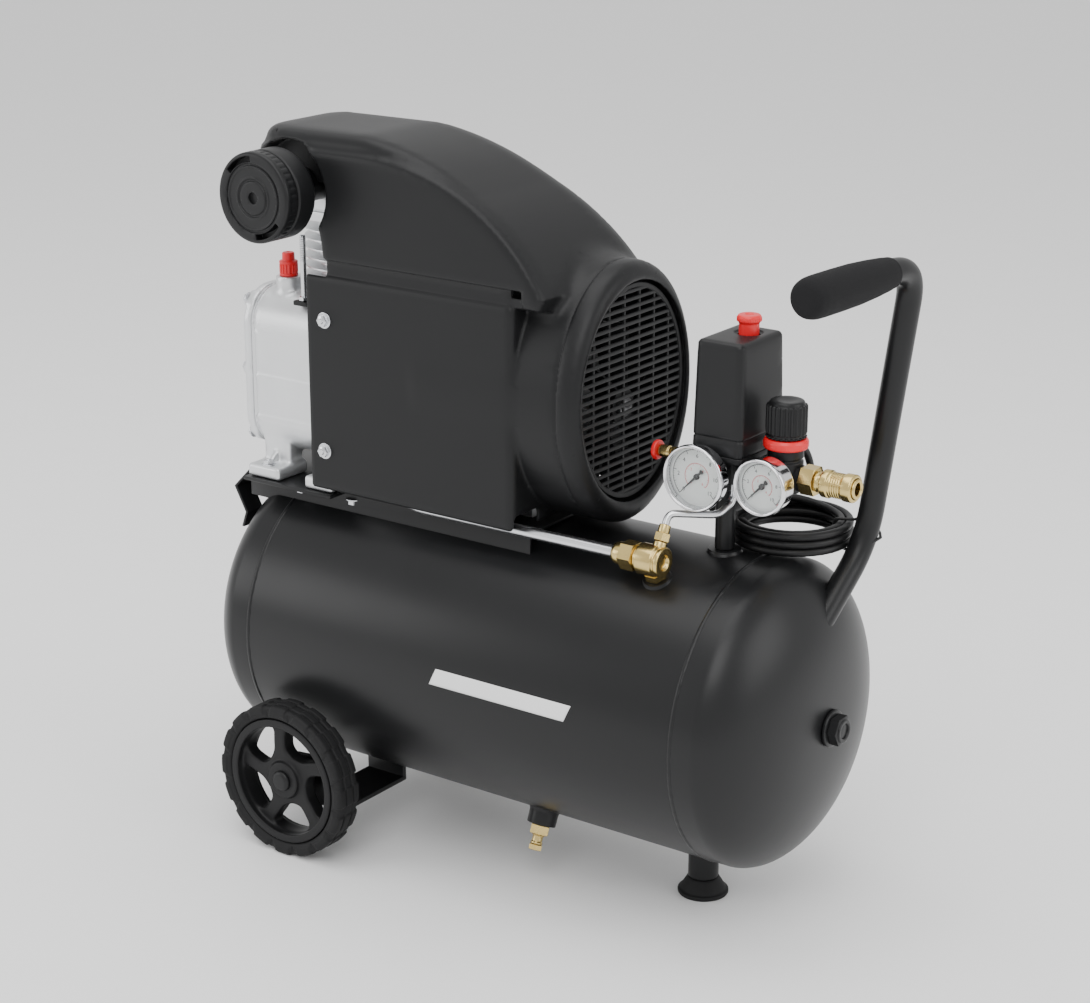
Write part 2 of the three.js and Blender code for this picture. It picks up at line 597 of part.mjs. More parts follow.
function addPump() {
  add("crankcase", "castAluminium", crankcaseBody());
  add("crankcase_cover", "castAluminium", crankcaseCover());
  const glassX = crankX.left - GAP - cover.flange - cover.bulge - GAP;
  const glassZ = shaftZ - sightGlass.below;
  add("oil_sight_glass", "glass", disc(sightGlass.radius, glassX - sightGlass.thickness, glassX, "x"),
    place(compressor, 0, 0, glassZ));
  add("oil_filler_plug", "red", oilFillerPlug());
  add("cylinder", "castAluminium", finnedCylinder());
  add("cylinder_head", "castAluminium", cylinderHead());
  add("piston", "castAluminium", pistonBody());
  add("connecting_rod", "castAluminium", connectingRod());
  add("crankshaft", "steel", crankshaft());
  add("air_filter_body", "blackPlastic", airFilterBody());
  add("air_filter_cap", "blackPlastic", airFilterCap());
}

// ---------------------------------------------------------------- motor
function endBell() {
  const { ventRadius, ventCircle } = motor;
  const plate = disc(motor.radius, bellX + GAP, bellX + motor.bell, "x", 24).translate(0, 0, shaftZ);
  const leg = box(bellX + GAP, bellX + motor.bell, -30, 30, deckZ + GAP, shaftZ - motor.radius + 25);
  const windows = Array.from({ length: 4 }, (_, i) => {
    const angle = (Math.PI / 2) * (i + 0.5);
    const window = disc(ventRadius, bellX - 1, bellX + motor.bell + 1, "x", 12);
    return window.translate(0, ventCircle * Math.cos(angle), shaftZ + ventCircle * Math.sin(angle));
  });
  const bearing = disc(shaft.radius + RUNNING, bellX - 1, bellX + motor.bell + 1, "x");
  return cut(join(plate, leg), bearing.translate(0, 0, shaftZ), ...windows);
}

function coolingFan() {
  const hub = ring(shaft.radius + GAP, fan.hubRadius, 0, fan.width, "x");
  const blades = Array.from({ length: fan.blades }, (_, i) => {
    const blade = box(2, fan.width, -fan.blade / 2, fan.blade / 2, fan.hubRadius - 1, fan.radius);
    return blade.rotateZ(fan.pitch).rotateX((2 * Math.PI * i) / fan.blades);
  });
  return join(hub, ...blades).translate(fanX, 0, shaftZ);
}

function addMotor() {
  const { radius, stator, rotorRadius, airGap } = motor;
  const core = ring(rotorRadius + airGap, radius, statorX, statorX + stator, "x", 24);
  add("stator", "steel", core.translate(0, 0, shaftZ));
  const rotor = ring(shaft.radius + GAP, rotorRadius, statorX + 8, statorX + stator - 8, "x", 24);
  add("rotor_core", "steel", rotor.translate(0, 0, shaftZ));
  add("motor_end_bell", "castAluminium", endBell());
  add("cooling_fan", "blackPlastic", coolingFan());
}

// ---------------------------------------------------------------- shroud
const hood = { centreX: 96.5, rise: 138, radiusX: 195, radiusZ: 152 };
const HOOD_CENTRE = { x: leftEnd + hood.centreX, z: deckZ + hood.rise };
const HOOD_SWEEP = 1.18; // radians of the ellipse from its top to its lower right end
const barrelZ = deckZ + shroud.barrelCentre;
const grilleZ = barrelZ + grille.rise;

// The hood's side outline, from its left bottom corner round over the top; raise lifts the top cap.
function hoodShape(inset, raise) {
  const left = leftEnd + shroud.hoodLeft + inset;
  const bottom = deckZ + shroud.panelTop;
  const top = HOOD_CENTRE.z + hood.radiusZ - inset + raise;
  const points = [[leftEnd + 59.5, bottom], [leftEnd + 51.5, deckZ + shroud.hoodFloor - 6]];
  points.push([left, deckZ + shroud.hoodFloor], [left, top - 14], [left + 12, top - 3], [left + 30, top]);
  const steps = 9;
  for (let i = 0; i <= steps; i += 1) {
    const t = Math.PI / 2 - HOOD_SWEEP * (i / steps);
    const fade = Math.max(0, 1 - (2 * i) / steps);
    const x = HOOD_CENTRE.x + (hood.radiusX - inset) * Math.cos(t);
    points.push([x, HOOD_CENTRE.z + (hood.radiusZ - inset) * Math.sin(t) + raise * fade]);
  }
  points.push([leftEnd + shroud.hoodRight - inset, bottom]);
  return polygon(points.reverse());
}

// The hood seen from above, with round left corners.
function hoodPlan(inset, z0, z1, right) {
  const left = leftEnd + shroud.hoodLeft + inset;
  const half = shroud.halfWidth - inset;
  const corner = shroud.hoodCorner - inset;
  const shape = new THREE.Shape();
  shape.moveTo(left + corner, -half);
  shape.lineTo(right, -half);
  shape.lineTo(right, half);
  shape.lineTo(left + corner, half);
  shape.absarc(left + corner, half - corner, corner, Math.PI / 2, Math.PI);
  shape.absarc(left + corner, -half + corner, corner, Math.PI, 1.5 * Math.PI);
  return slabZ(shape, z0, z1);
}

function hoodSolid(inset) {
  const half = shroud.halfWidth - inset;
  const right = leftEnd + 2 * shroud.hoodRight;
  const above = HOOD_CENTRE.z + 2 * hood.radiusZ;
  const plan = (margin) => hoodPlan(inset + margin, deckZ, above, right);
  const body = common(slabY(hoodShape(inset, 0), -half, half), plan(0));
  return join(body, common(slabY(hoodShape(inset, shroud.cap), -half, half), plan(shroud.capInset)));
}

function panelSolid(inset) {
  const half = shroud.halfWidth - inset;
  return box(leftEnd + shroud.left - inset, leftEnd + shroud.panelRight - inset, -half, half,
    deckZ + shroud.panelBottom - inset, deckZ + shroud.panelTop + shroud.groove / 2 - inset);
}

function barrelSolid(inset) {
  const { halfWidth, barrelRise, barrelLeft, mouth } = shroud;
  const to = leftEnd + mouth - inset;
  const side = (margin) => ellipse(0, barrelZ, halfWidth - inset - margin, barrelRise - inset - margin, 28);
  return join(slabX(side(0), leftEnd + barrelLeft, to - 7), slabX(side(4), leftEnd + barrelLeft + 1, to));
}

function shroudBody() {
  const { wall, halfWidth, left, panelRight, panelTop, groove, grooveDepth, scoop, scoopMargin } = shroud;
  const outer = join(hoodSolid(0), panelSolid(0), barrelSolid(0));
  const inner = join(hoodSolid(wall), panelSolid(wall), barrelSolid(wall));
  const underHood = hoodPlan(wall, deckZ + panelTop, deckZ + shroud.hoodFloor + 12, leftEnd + left + 20);
  const underMotor = box(leftEnd + left - 5, leftEnd + panelRight - wall, wall - halfWidth, halfWidth - wall,
    deckZ - 10, deckZ + panelTop + groove + 8);
  const scoopBack = scoop - halfWidth;
  const around = (margin, y0, y1, sides = 24) => disc(filter.radius + margin, y0, y1, "y", sides)
    .translate(pumpX, 0, filterZ);
  const pocketWall = common(outer, around(scoopMargin + wall, -halfWidth - 5, scoopBack));
  const pocket = around(scoopMargin, -halfWidth - 6, scoopBack - wall);
  const neck = disc(filter.neckRadius + 2, scoopBack - wall - 5, scoopBack + 5, "y", 16);
  neck.translate(pumpX, 0, filterZ);
  const opening = ellipse(0, grilleZ, grille.halfWidth + 1, grille.halfHeight + 1, 28);
  const mouth = slabX(opening, grilleX - 5, leftEnd + shroud.mouth + 5);
  const notchX = leftEnd + panelRight;
  const pipeNotch = box(notchX - 10, notchX + 5, wall - halfWidth, -50, deckZ, deckZ + 18);
  const grooves = [-1, 1].map((side) => {
    const [y0, y1] = [side * (halfWidth - grooveDepth), side * (halfWidth + 1)].sort((a, b) => a - b);
    return box(leftEnd + left - 5, notchX + 8, y0, y1, deckZ + panelTop, deckZ + panelTop + groove);
  });
  const shell = cut(outer, inner, underHood, underMotor, mouth, pipeNotch, ...grooves);
  return cut(join(shell, pocketWall), pocket, neck);
}

function fanGrille() {
  const { halfWidth, halfHeight, thickness, rows, columns, bar: thick, rim } = grille;
  const back = grilleX + thickness;
  const plate = slabX(ellipse(0, grilleZ, halfWidth, halfHeight, 28), grilleX, back);
  const openShape = ellipse(0, grilleZ, halfWidth - rim, halfHeight - rim, 28);
  const inside = slabX(openShape, grilleX - 1, back + 1);
  const pitchZ = (2 * (halfHeight - rim)) / rows;
  const pitchY = (2 * (halfWidth - rim)) / columns;
  const slots = [];
  for (let row = 0; row < rows; row += 1) {
    for (let column = 0; column < columns; column += 1) {
      const low = grilleZ - halfHeight + rim + row * pitchZ + thick / 2;
      const left = -halfWidth + rim + column * pitchY + thick / 2;
      slots.push(box(grilleX - 1, back + 1, left, left + pitchY - thick, low, low + pitchZ - thick));
    }
  }
  return cut(plate, common(join(...slots), inside));
}

// ---------------------------------------------------------------- pipework
// The (y, z) of a point at a height above the tank's axis, tilted from straight up towards the front.
const radialPoint = (height, degrees) => {
  const t = THREE.MathUtils.degToRad(degrees);
  return [-height * Math.sin(t), tankZ + height * Math.cos(t)];
};

function addCheckValve() {
  const { tilt, height, radius, halfLength, stemRadius, boss } = checkValve;
  const { portRadius, portOffset, lift, liftTilt } = checkValve;
  const middle = tank.radius + height;
  const lean = THREE.MathUtils.degToRad(liftTilt);
  const stem = disc(stemRadius, tank.radius + boss + GAP, middle, "z", 16);
  const body = turned([[0, -halfLength], [radius - 1.5, -halfLength], [radius, -halfLength + 1.5],
    [radius, halfLength - 1.5], [radius - 1.5, halfLength], [0, halfLength]], "x").translate(0, 0, middle);
  const portTop = [portOffset, lift * Math.sin(lean), middle + lift * Math.cos(lean)];
  const port = bar([portOffset, 0, middle], portTop, portRadius);
  add("check_valve", "brass", join(stem, body, port), radialPlace(checkX, tilt));
}

function addDeliveryPipe() {
  const [y, z] = radialPoint(tank.radius + checkValve.height, checkValve.tilt);
  const nutX = checkX - checkValve.halfLength - GAP;
  const bore = disc(pipe.radius + pipe.socket, nutX - pipe.nut - 1, nutX - pipe.nut + 10, "x", 16);
  const nut = cut(hexagon(pipe.nutRadius, nutX - pipe.nut, nutX, "x"), bore);
  add("delivery_pipe_nut", "brass", nut, place(compressor, 0, y, z));
  const rise = { x: pumpX + 70, y: -shroud.halfWidth + shroud.wall + pipe.radius + 2.5 };
  const inlet = [pumpX + head.halfWidth + GAP, -26, headZ + 12];
  const points = [[nutX - pipe.nut + 9, y, z], [leftEnd + 133, rise.y + 3, deckZ + pipe.radius - 1],
    [rise.x, rise.y, deckZ + 40], [rise.x, rise.y, inlet[2]], [rise.x, inlet[1], inlet[2]], inlet];
  add("delivery_pipe", "castAluminium", tube(route(points, 17), pipe.radius, 30, 8));
}

function addUnloaderPipe() {
  const { tilt, height, portOffset, lift, liftTilt } = checkValve;
  const [y, z] = radialPoint(tank.radius + height, tilt);
  const lean = THREE.MathUtils.degToRad(liftTilt - tilt);
  const along = (reach) => [checkX + portOffset, y + reach * Math.sin(lean), z + reach * Math.cos(lean)];
  const under = controlZ - controls.blockHeight / 2 - GAP;
  const corner = riserX + controls.pipeRadius + pipe.unloaderRadius + 1.5;
  const line = [along(lift + GAP), along(lift + 9), [corner - 3, -26, under - 22], [corner, -9, under - 14],
    [corner, -8, under]];
  add("unloader_pipe", "steel", tube(route(line, 6), pipe.unloaderRadius, 24, 8));
}

// ---------------------------------------------------------------- controls
function taperedBox(halfX, halfY, topX, topY, z0, z1) {
  const geometry = box(-1, 1, -1, 1, z0, z1);
  const at = geometry.attributes.position;
  for (let i = 0; i < at.count; i += 1) {
    const isTop = at.getZ(i) > (z0 + z1) / 2;
    at.setXY(i, at.getX(i) * (isTop ? topX : halfX), at.getY(i) * (isTop ? topY : halfY));
  }
  return geometry;
}

function switchBase() {
  const { block, blockHeight } = controls;
  const { halfLength, halfWidth, base } = pressureSwitch;
  const manifold = box(-block, block, -block, block, -blockHeight / 2, blockHeight / 2 + 1);
  const top = blockHeight / 2 + base;
  const middle = pressureSwitch.offsetX;
  const plate = box(middle - halfLength, middle + halfLength, -halfWidth, halfWidth, blockHeight / 2, top);
  const works = box(-4, 24, -22, 22, top - 1, top + pressureSwitch.works);
  const entry = box(6, 26, block - 1, halfWidth, -8, blockHeight / 2 + 1);
  return join(manifold, plate, works, entry);
}

function switchCover() {
  const { halfLength, halfWidth, height, taper, wall } = pressureSwitch;
  const outer = taperedBox(halfLength, halfWidth, halfLength - taper, halfWidth - taper, GAP, height);
  const [innerX, innerY] = [halfLength - wall, halfWidth - wall];
  const inner = taperedBox(innerX, innerY, innerX - taper, innerY - taper, -1, height - wall);
  const hole = disc(knob.radius + 0.6, height - 10, height + 5);
  return cut(outer, inner, hole.translate(knob.offsetX - pressureSwitch.offsetX, knob.y, 0));
}

function switchKnob() {
  const { radius, rimRadius, height, inside } = knob;
  return turned([[0, -inside], [radius, -inside], [radius, height - 6], [rimRadius, height - 4],
    [rimRadius, height - 1], [rimRadius - 1, height], [0, height]]);
}

// A round gauge facing -Y with its face set back inside the rim, and a stem to the block behind it.
function gaugeCase({ radius, depth, frontY, recess }, stemEnd) {
  const back = frontY + depth;
  return turned([[0, frontY + recess], [radius - 3, frontY + recess], [radius - 3, frontY], [radius, frontY],
    [radius, frontY + 5], [radius - 1.5, frontY + 6], [radius - 1.5, back - 4], [radius - 5, back], [6, back],
    [6, stemEnd], [0, stemEnd]], "y", 24);
}

function gaugeNeedle({ radius, frontY, recess }) {
  const face = frontY + recess - 1.2;
  const reach = radius * 0.68;
  const tail = radius * 0.3;
  const blade = polygon([[-reach, 0.25], [-reach, -0.25], [0, -1.1], [tail, -1.6], [tail, 1.6], [0, 1.1]]);
  const turn = new THREE.Matrix4().makeRotationY(THREE.MathUtils.degToRad(-45));
  const pointer = slabY(blade, face - 0.7, face).applyMatrix4(turn);
  return join(pointer, disc(2.4, face - 1.2, face + 0.9, "y", 12));
}

function addGauge(name, size, x) {
  const group = place(compressor, x, 0, controlZ);
  const stemEnd = name === "tank_gauge" ? -controls.block - GAP : -regulator.radius - GAP;
  add(name, "chrome", gaugeCase(size, stemEnd), group);
  add(name + "_needle", "blackPlastic", gaugeNeedle(size), group);
}

function addRegulator() {
  const group = place(compressor, regulatorX, 0, controlZ);
  const { radius, armRadius, bonnet: top, spindleRadius, spindle, ringRadius, knobRadius, lift } = regulator;
  const boreRadius = spindleRadius + RUNNING;
  const left = -regulator.offsetX + controls.block + GAP;
  const arm = disc(armRadius, left, radius + 2, "x");
  const bonnet = disc(radius, -radius, top, "z");
  const spindleHole = disc(boreRadius, 8, top + 1, "z", 12);
  add("regulator_body", "blackPlastic", cut(join(arm, bonnet), spindleHole), group);
  const ringZ = top + GAP;
  const ringTop = ringZ + regulator.ring;
  add("regulator_lock_ring", "red", ring(boreRadius, ringRadius, ringZ, ringTop, "z", 28), group);
  const knobZ = ringTop + GAP;
  add("regulator_spindle", "steel", disc(spindleRadius, 9, knobZ + spindle, "z", 12), group);
  const ribs = Array.from({ length: 40 }, (_, i) => {
    const reach = i % 2 === 0 ? knobRadius : knobRadius - 1.2;
    return [reach * Math.cos((Math.PI * i) / 20), reach * Math.sin((Math.PI * i) / 20)];
  });
  const knobTop = knobZ + regulator.knob;
  const grip = slabZ(polygon(ribs), knobZ, knobTop - 3);
  const cap = disc(knobRadius - 2.5, knobTop - 4, knobTop, "z", 24);
  const bore = disc(boreRadius, knobZ - 1, knobZ + spindle + lift + 2, "z", 12);
  add("regulator_knob", "blackPlastic", cut(join(grip, cap), bore), group);
}

function addCoupler() {
  const from = regulator.radius + 2 + GAP;
  const { hexRadius, sleeveRadius, noseRadius, boreRadius, length, travel } = coupler;
  const group = place(compressor, regulatorX, 0, controlZ);
  const shoulder = from + coupler.hex;
  const nose = disc(noseRadius, shoulder - 1, from + length, "x");
  const body = join(hexagon(hexRadius, from, shoulder, "x"), nose);
  add("coupler_body", "brass", cut(body, disc(boreRadius, from + 8, from + length + 1, "x", 16)), group);
  const start = shoulder + travel + 1;
  const end = from + length - 2;
  const inner = noseRadius + RUNNING;
  const profile = [[inner, start], [sleeveRadius, start], [sleeveRadius, start + 6],
    [sleeveRadius - 1.2, start + 7], [sleeveRadius - 1.2, start + 17], [sleeveRadius, start + 18],
    [sleeveRadius, end], [inner, end], [inner, start]];
  add("coupler_sleeve", "brass", turned(profile, "x"), group);
}

function addSafetyValve() {
  const group = place(compressor, riserX - controls.block - GAP, 0, controlZ);
  const { hexRadius, hex, barrelRadius, stemRadius, length, capRadius, cap, travel } = safety;
  const body = join(hexagon(hexRadius, -hex, 0, "x"), disc(barrelRadius, -length, -hex + 1, "x"));
  const bored = cut(body, disc(stemRadius + RUNNING, -length - 1, -length + 14, "x", 12));
  add("safety_valve", "brass", bored, group);
  const top = join(disc(capRadius, -length - GAP - cap, -length - GAP, "x"),
    disc(stemRadius, -length - 1, -length + 13 - travel, "x", 12));
  add("safety_valve_cap", "red", top, group);
}

function addControls() {
  const bottom = tankTop + controls.boss + GAP;
  const top = controlZ - controls.blockHeight / 2 - GAP;
  const riser = disc(controls.pipeRadius, bottom, top, "z", 20).translate(riserX, 0, 0);
  add("switch_riser", "blackPaint", riser);
  add("pressure_switch_base", "blackPlastic", switchBase(), place(compressor, riserX, 0, controlZ));
  add("pressure_switch_cover", "blackPlastic", switchCover(), place(compressor, switchX, 0, switchZ));
  add("switch_knob", "red", switchKnob(), place(compressor, riserX + knob.offsetX, knob.y, switchTop));
  addGauge("tank_gauge", tankGauge, riserX);
  addGauge("outlet_gauge", outletGauge, regulatorX + 1);
  addRegulator();
  addCoupler();
  addSafetyValve();
}

// ---------------------------------------------------------------- handle
const HANDLE_POINTS = [
  [rightEnd + 76.4, -71, tankTop + handle.gripHeight],
  [rightEnd + 87, handle.legY, tankTop + handle.gripHeight + 1],
  [rightEnd + 56, handle.legY, tankTop + 6],
  [rightEnd + 47, 0, tankTop - 60],
];

function addHandle() {
  const path = route(HANDLE_POINTS, handle.bend);
  const solid = tube(path, handle.radius, 20, 10);
  const bore = tube(path, handle.radius - handle.wall, 20, 6);
  const body = cut(solid, bore, tankForm(GAP).translate(0, 0, tankZ));
  const pieces = toSolid(body).decompose().sort((a, b) => b.volume() - a.volume());
  add("handle_tube", "blackPaint", toGeometry(pieces[0]));
  const [free, corner] = HANDLE_POINTS.map((point) => new THREE.Vector3(...point));
  const along = corner.sub(free).normalize();
  const bodyLength = handle.gripLength;
  const inner = handle.radius + GAP;
  const profile = [[0, -6], [10, -6], [15, -1], [handle.gripRadius, 6], [handle.gripRadius, 60], [14, 85],
    [12.5, bodyLength - 4], [11.5, bodyLength], [inner, bodyLength], [inner, 0], [0, 0]];
  const grip = add("handle_grip", "rubber", turned(profile, "z", 20), place(compressor, ...HANDLE_POINTS[0]));
  grip.quaternion.setFromUnitVectors(UP, along);
  grip.position.copy(along).multiplyScalar(-GAP);
}

// ---------------------------------------------------------------- power cord
// The cord leaves the switch, drops onto its own coil, and its last bend rises to the plug that lies on top.
// The routes are measured from the foot of the switch's riser.
const fromRiser = ([x, y, z]) => [riserX + x, y, tankTop + z];
const RELIEF = 26;
const ENTRY = { x: riserX + 16, y: pressureSwitch.halfWidth, z: controlZ + 1 };
const CORD_ROUTE = [
  [16, ENTRY.y + RELIEF + GAP, 72.5], [16, 70, 72.5], [16.5, 81, 70], [17.5, 91, 62.5], [18, 98, 51.5],
  [17, 102, 40.5], [12, 103, 31], [4, 99, 25], [-4, 91.5, 23.1],
].map(fromRiser);
const TAIL_ROUTE = [[-7.2, 76.3, 23.2], [-12.5, 71, 25], [-18, 65, 27.5], [-20, 58, 28.9]].map(fromRiser);
const PLUG_REAR = fromRiser([-20, 57, 28.9]);
const STRAND = 2 * cord.radius;
const PLUG = { width: 24, height: 18, length: 36, taper: 14, pinRadius: 2.4, pinSpacing: 19, pin: 19 };
const COIL = { x: riserX + cord.coilX, y: cord.coilY, z: tankTop + GAP };

function coilRing() {
  const outer = cord.coilInner + cord.coilTurnsWide * STRAND;
  return ring(cord.coilInner, outer, 0, cord.coilTurnsHigh * STRAND, "z", 28);
}

function powerPlug() {
  const { width, height, length, taper, pinRadius, pinSpacing, pin } = PLUG;
  const outline = polygon([[-5, 0], [-width / 2, -taper], [-width / 2, -length], [width / 2, -length],
    [width / 2, -taper], [5, 0]]);
  const pins = [-1, 1].map((side) => disc(pinRadius, -length - pin, 1 - length, "y", 12)
    .translate((side * pinSpacing) / 2, 0, 0));
  return join(slabZ(outline, -height / 2, height / 2), ...pins);
}

function addCord() {
  const relief = turned([[0, GAP], [8, GAP], [8, 6], [5.5, 8], [4.2, RELIEF], [0, RELIEF]], "y", 12);
  add("strain_relief", "rubber", relief, place(compressor, ENTRY.x, ENTRY.y, ENTRY.z));
  add("cord_coil", "rubber", coilRing(), place(compressor, COIL.x, COIL.y, COIL.z));
  const smooth = (points) => new THREE.CatmullRomCurve3(points.map((point) => new THREE.Vector3(...point)));
  add("power_cord", "rubber", tube(smooth(CORD_ROUTE), cord.radius, 12, 8));
  add("cord_tail", "rubber", tube(smooth(TAIL_ROUTE), cord.radius, 3, 8));
  add("power_plug", "rubber", powerPlug(), place(compressor, ...PLUG_REAR));
}

addTank();
addDrain();
addRunningGear();
add("pump_platform", "blackPaint", pumpPlatform());
add("platform_hook", "blackPaint", platformHook());
addPump();
addMotor();
add("shroud", "blackPlastic", shroudBody());
add("fan_grille", "blackPlastic", fanGrille());
addCheckValve();
addDeliveryPipe();
addUnloaderPipe();
addControls();
addHandle();
addCord();

// The origin is under the middle of the object without its cord, on the floor.
const CORD_NODES = ["power_cord", "cord_coil", "cord_tail", "power_plug"];
compressor.updateMatrixWorld(true);
const extent = new THREE.Box3();
compressor.traverse((piece) => {
  if (piece.isMesh && !CORD_NODES.includes(piece.name)) extent.expandByObject(piece, true);
});
const centre = extent.getCenter(new THREE.Vector3());
compressor.position.set(-centre.x, -centre.y, -extent.min.z);

export default compressor;
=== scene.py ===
import math
from math import cos, pi, radians, sin, sqrt

import bmesh
import bpy
import numpy as np
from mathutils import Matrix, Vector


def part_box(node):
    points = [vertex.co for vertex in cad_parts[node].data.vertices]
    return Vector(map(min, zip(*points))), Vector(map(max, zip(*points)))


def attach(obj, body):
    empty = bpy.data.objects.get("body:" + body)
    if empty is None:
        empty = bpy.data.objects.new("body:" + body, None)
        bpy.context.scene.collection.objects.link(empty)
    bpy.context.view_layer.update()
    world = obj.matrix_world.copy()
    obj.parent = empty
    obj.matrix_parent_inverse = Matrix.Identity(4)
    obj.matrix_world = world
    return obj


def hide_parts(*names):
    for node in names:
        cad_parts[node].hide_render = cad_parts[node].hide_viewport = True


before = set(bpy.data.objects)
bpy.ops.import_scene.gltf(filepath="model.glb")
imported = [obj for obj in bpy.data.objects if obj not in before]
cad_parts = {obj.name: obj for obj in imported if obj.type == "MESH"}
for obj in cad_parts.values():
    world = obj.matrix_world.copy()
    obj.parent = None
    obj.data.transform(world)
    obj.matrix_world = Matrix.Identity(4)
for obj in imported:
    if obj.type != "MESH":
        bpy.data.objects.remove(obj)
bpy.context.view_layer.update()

import openvdb
from mathutils import Matrix, Vector

# All sizes below are in millimetres in the tank's own frame: x = 0 midway between the tank's seams,
# y = 0 on its axis, z = 0 on the floor. TANK_X is where that frame's x = 0 lies in the row frame.
MM = 0.001
WRAP_LOW, WRAP_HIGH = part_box("tank_wrapper")
TANK_X = (WRAP_LOW[0] + WRAP_HIGH[0]) / 2


def at(x, y, z):
    return Vector((TANK_X + x * MM, y * MM, z * MM))


def box_mm(node):
    """A CAD node's box in the tank's frame, in millimetres."""
    low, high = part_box(node)
    return [((v[0] - TANK_X) / MM, v[1] / MM, v[2] / MM) for v in (low, high)]


# ---------------------------------------------------------------- places taken from the frame
TANK_R = WRAP_HIGH[1] / MM
TANK_TOP = box_mm("tank_head_right")[1][2]
TANK_Z = TANK_TOP - TANK_R
SEAM = (WRAP_HIGH[0] - WRAP_LOW[0]) / MM / 2
DOME_X = box_mm("tank_head_right")[1][0]
DECK = box_mm("pump_platform")[1][2]
PUMP_X = sum(p[0] for p in box_mm("cylinder")) / 2
SHAFT_Z = sum(p[2] for p in box_mm("stator")) / 2
HEAD_Z = box_mm("cylinder_head")[0][2]
FILTER_Z = sum(p[2] for p in box_mm("air_filter_cap")) / 2
AXLE_X = sum(p[0] for p in box_mm("wheel_tyre_front")) / 2
WHEEL_R = box_mm("wheel_tyre_front")[1][2] / 2
FOOT_X = sum(p[0] for p in box_mm("rubber_foot")) / 2
RISER_X = sum(p[0] for p in box_mm("switch_riser")) / 2
CONTROL_Z = sum(p[2] for p in box_mm("tank_gauge")) / 2
REG_X = sum(p[0] for p in box_mm("regulator_knob")) / 2
SHROUD = box_mm("shroud")
BARREL_Z = DECK + 110


# ---------------------------------------------------------------- camera
def make_camera():
    data = bpy.data.cameras.new("camera")
    camera = bpy.data.objects.new("camera", data)
    bpy.context.collection.objects.link(camera)
    azimuth, elevation = radians(35.71), radians(18.0)
    back = Vector((sin(azimuth) * cos(elevation), -cos(azimuth) * cos(elevation), sin(elevation)))
    camera.location = at(1120.2, -1547.1, 925.2)
    camera.rotation_mode = "QUATERNION"
    camera.rotation_quaternion = back.to_track_quat("Z", "Y")
    data.sensor_width = 36
    data.lens = 80.7
    data.clip_end = 20
    bpy.context.scene.camera = camera


make_camera()


# ---------------------------------------------------------------- materials
def node_material(name, base, rough, metal=0.0, **options):
    """A Principled material with noise in its colour, roughness and surface.

    vary and vary_scale are how far and how finely the colour changes, rough_vary how far the roughness does,
    bump the height of the grain in millimetres and grain its scale per metre, and stretch its direction.
    """
    material = bpy.data.materials.new(name)
    material.use_nodes = True
    tree = material.node_tree
    nodes, links = tree.nodes, tree.links
    shader = nodes["Principled BSDF"]
    shader.inputs["Metallic"].default_value = metal
    for key in ("Coat Weight", "Coat Roughness", "Sheen Weight", "Sheen Roughness", "IOR",
                "Specular IOR Level"):
        if key in options:
            shader.inputs[key].default_value = options[key]
    coords = nodes.new("ShaderNodeTexCoord")
    mapping = nodes.new("ShaderNodeMapping")
    mapping.inputs["Scale"].default_value = options.get("stretch", (1, 1, 1))
    links.new(coords.outputs["Object"], mapping.inputs["Vector"])
    broad = nodes.new("ShaderNodeTexNoise")
    broad.inputs["Scale"].default_value = options.get("vary_scale", 14)
    broad.inputs["Detail"].default_value = 5
    links.new(mapping.outputs["Vector"], broad.inputs["Vector"])
    ramp = nodes.new("ShaderNodeMix")
    ramp.data_type = "RGBA"
    vary = options.get("vary", 0.12)
    ramp.inputs["A"].default_value = [c * (1 - vary) for c in base] + [1]
    ramp.inputs["B"].default_value = [min(1, c * (1 + vary)) for c in base] + [1]
    links.new(broad.outputs["Fac"], ramp.inputs["Factor"])
    links.new(ramp.outputs["Result"], shader.inputs["Base Color"])
    spread = nodes.new("ShaderNodeMapRange")
    rough_vary = options.get("rough_vary", 0.06)
    spread.inputs["To Min"].default_value = rough - rough_vary
    spread.inputs["To Max"].default_value = rough + rough_vary
    links.new(broad.outputs["Fac"], spread.inputs["Value"])
    links.new(spread.outputs["Result"], shader.inputs["Roughness"])
    grain = nodes.new("ShaderNodeTexNoise")
    grain.inputs["Scale"].default_value = options.get("grain", 900)
    grain.inputs["Detail"].default_value = 3
    links.new(mapping.outputs["Vector"], grain.inputs["Vector"])
    bump = nodes.new("ShaderNodeBump")
    bump.inputs["Strength"].default_value = options.get("strength", 0.5)
    bump.inputs["Distance"].default_value = options.get("bump", 0.1) * MM
    links.new(grain.outputs["Fac"], bump.inputs["Height"])
    links.new(bump.outputs["Normal"], shader.inputs["Normal"])
    return material


def glass_material(name, tint):
    material = bpy.data.materials.new(name)
    material.use_nodes = True
    shader = material.node_tree.nodes["Principled BSDF"]
    shader.inputs["Base Color"].default_value = (*tint, 1)
    shader.inputs["Roughness"].default_value = 0.03
    shader.inputs["IOR"].default_value = 1.3
    shader.inputs["Transmission Weight"].default_value = 1.0
    return material


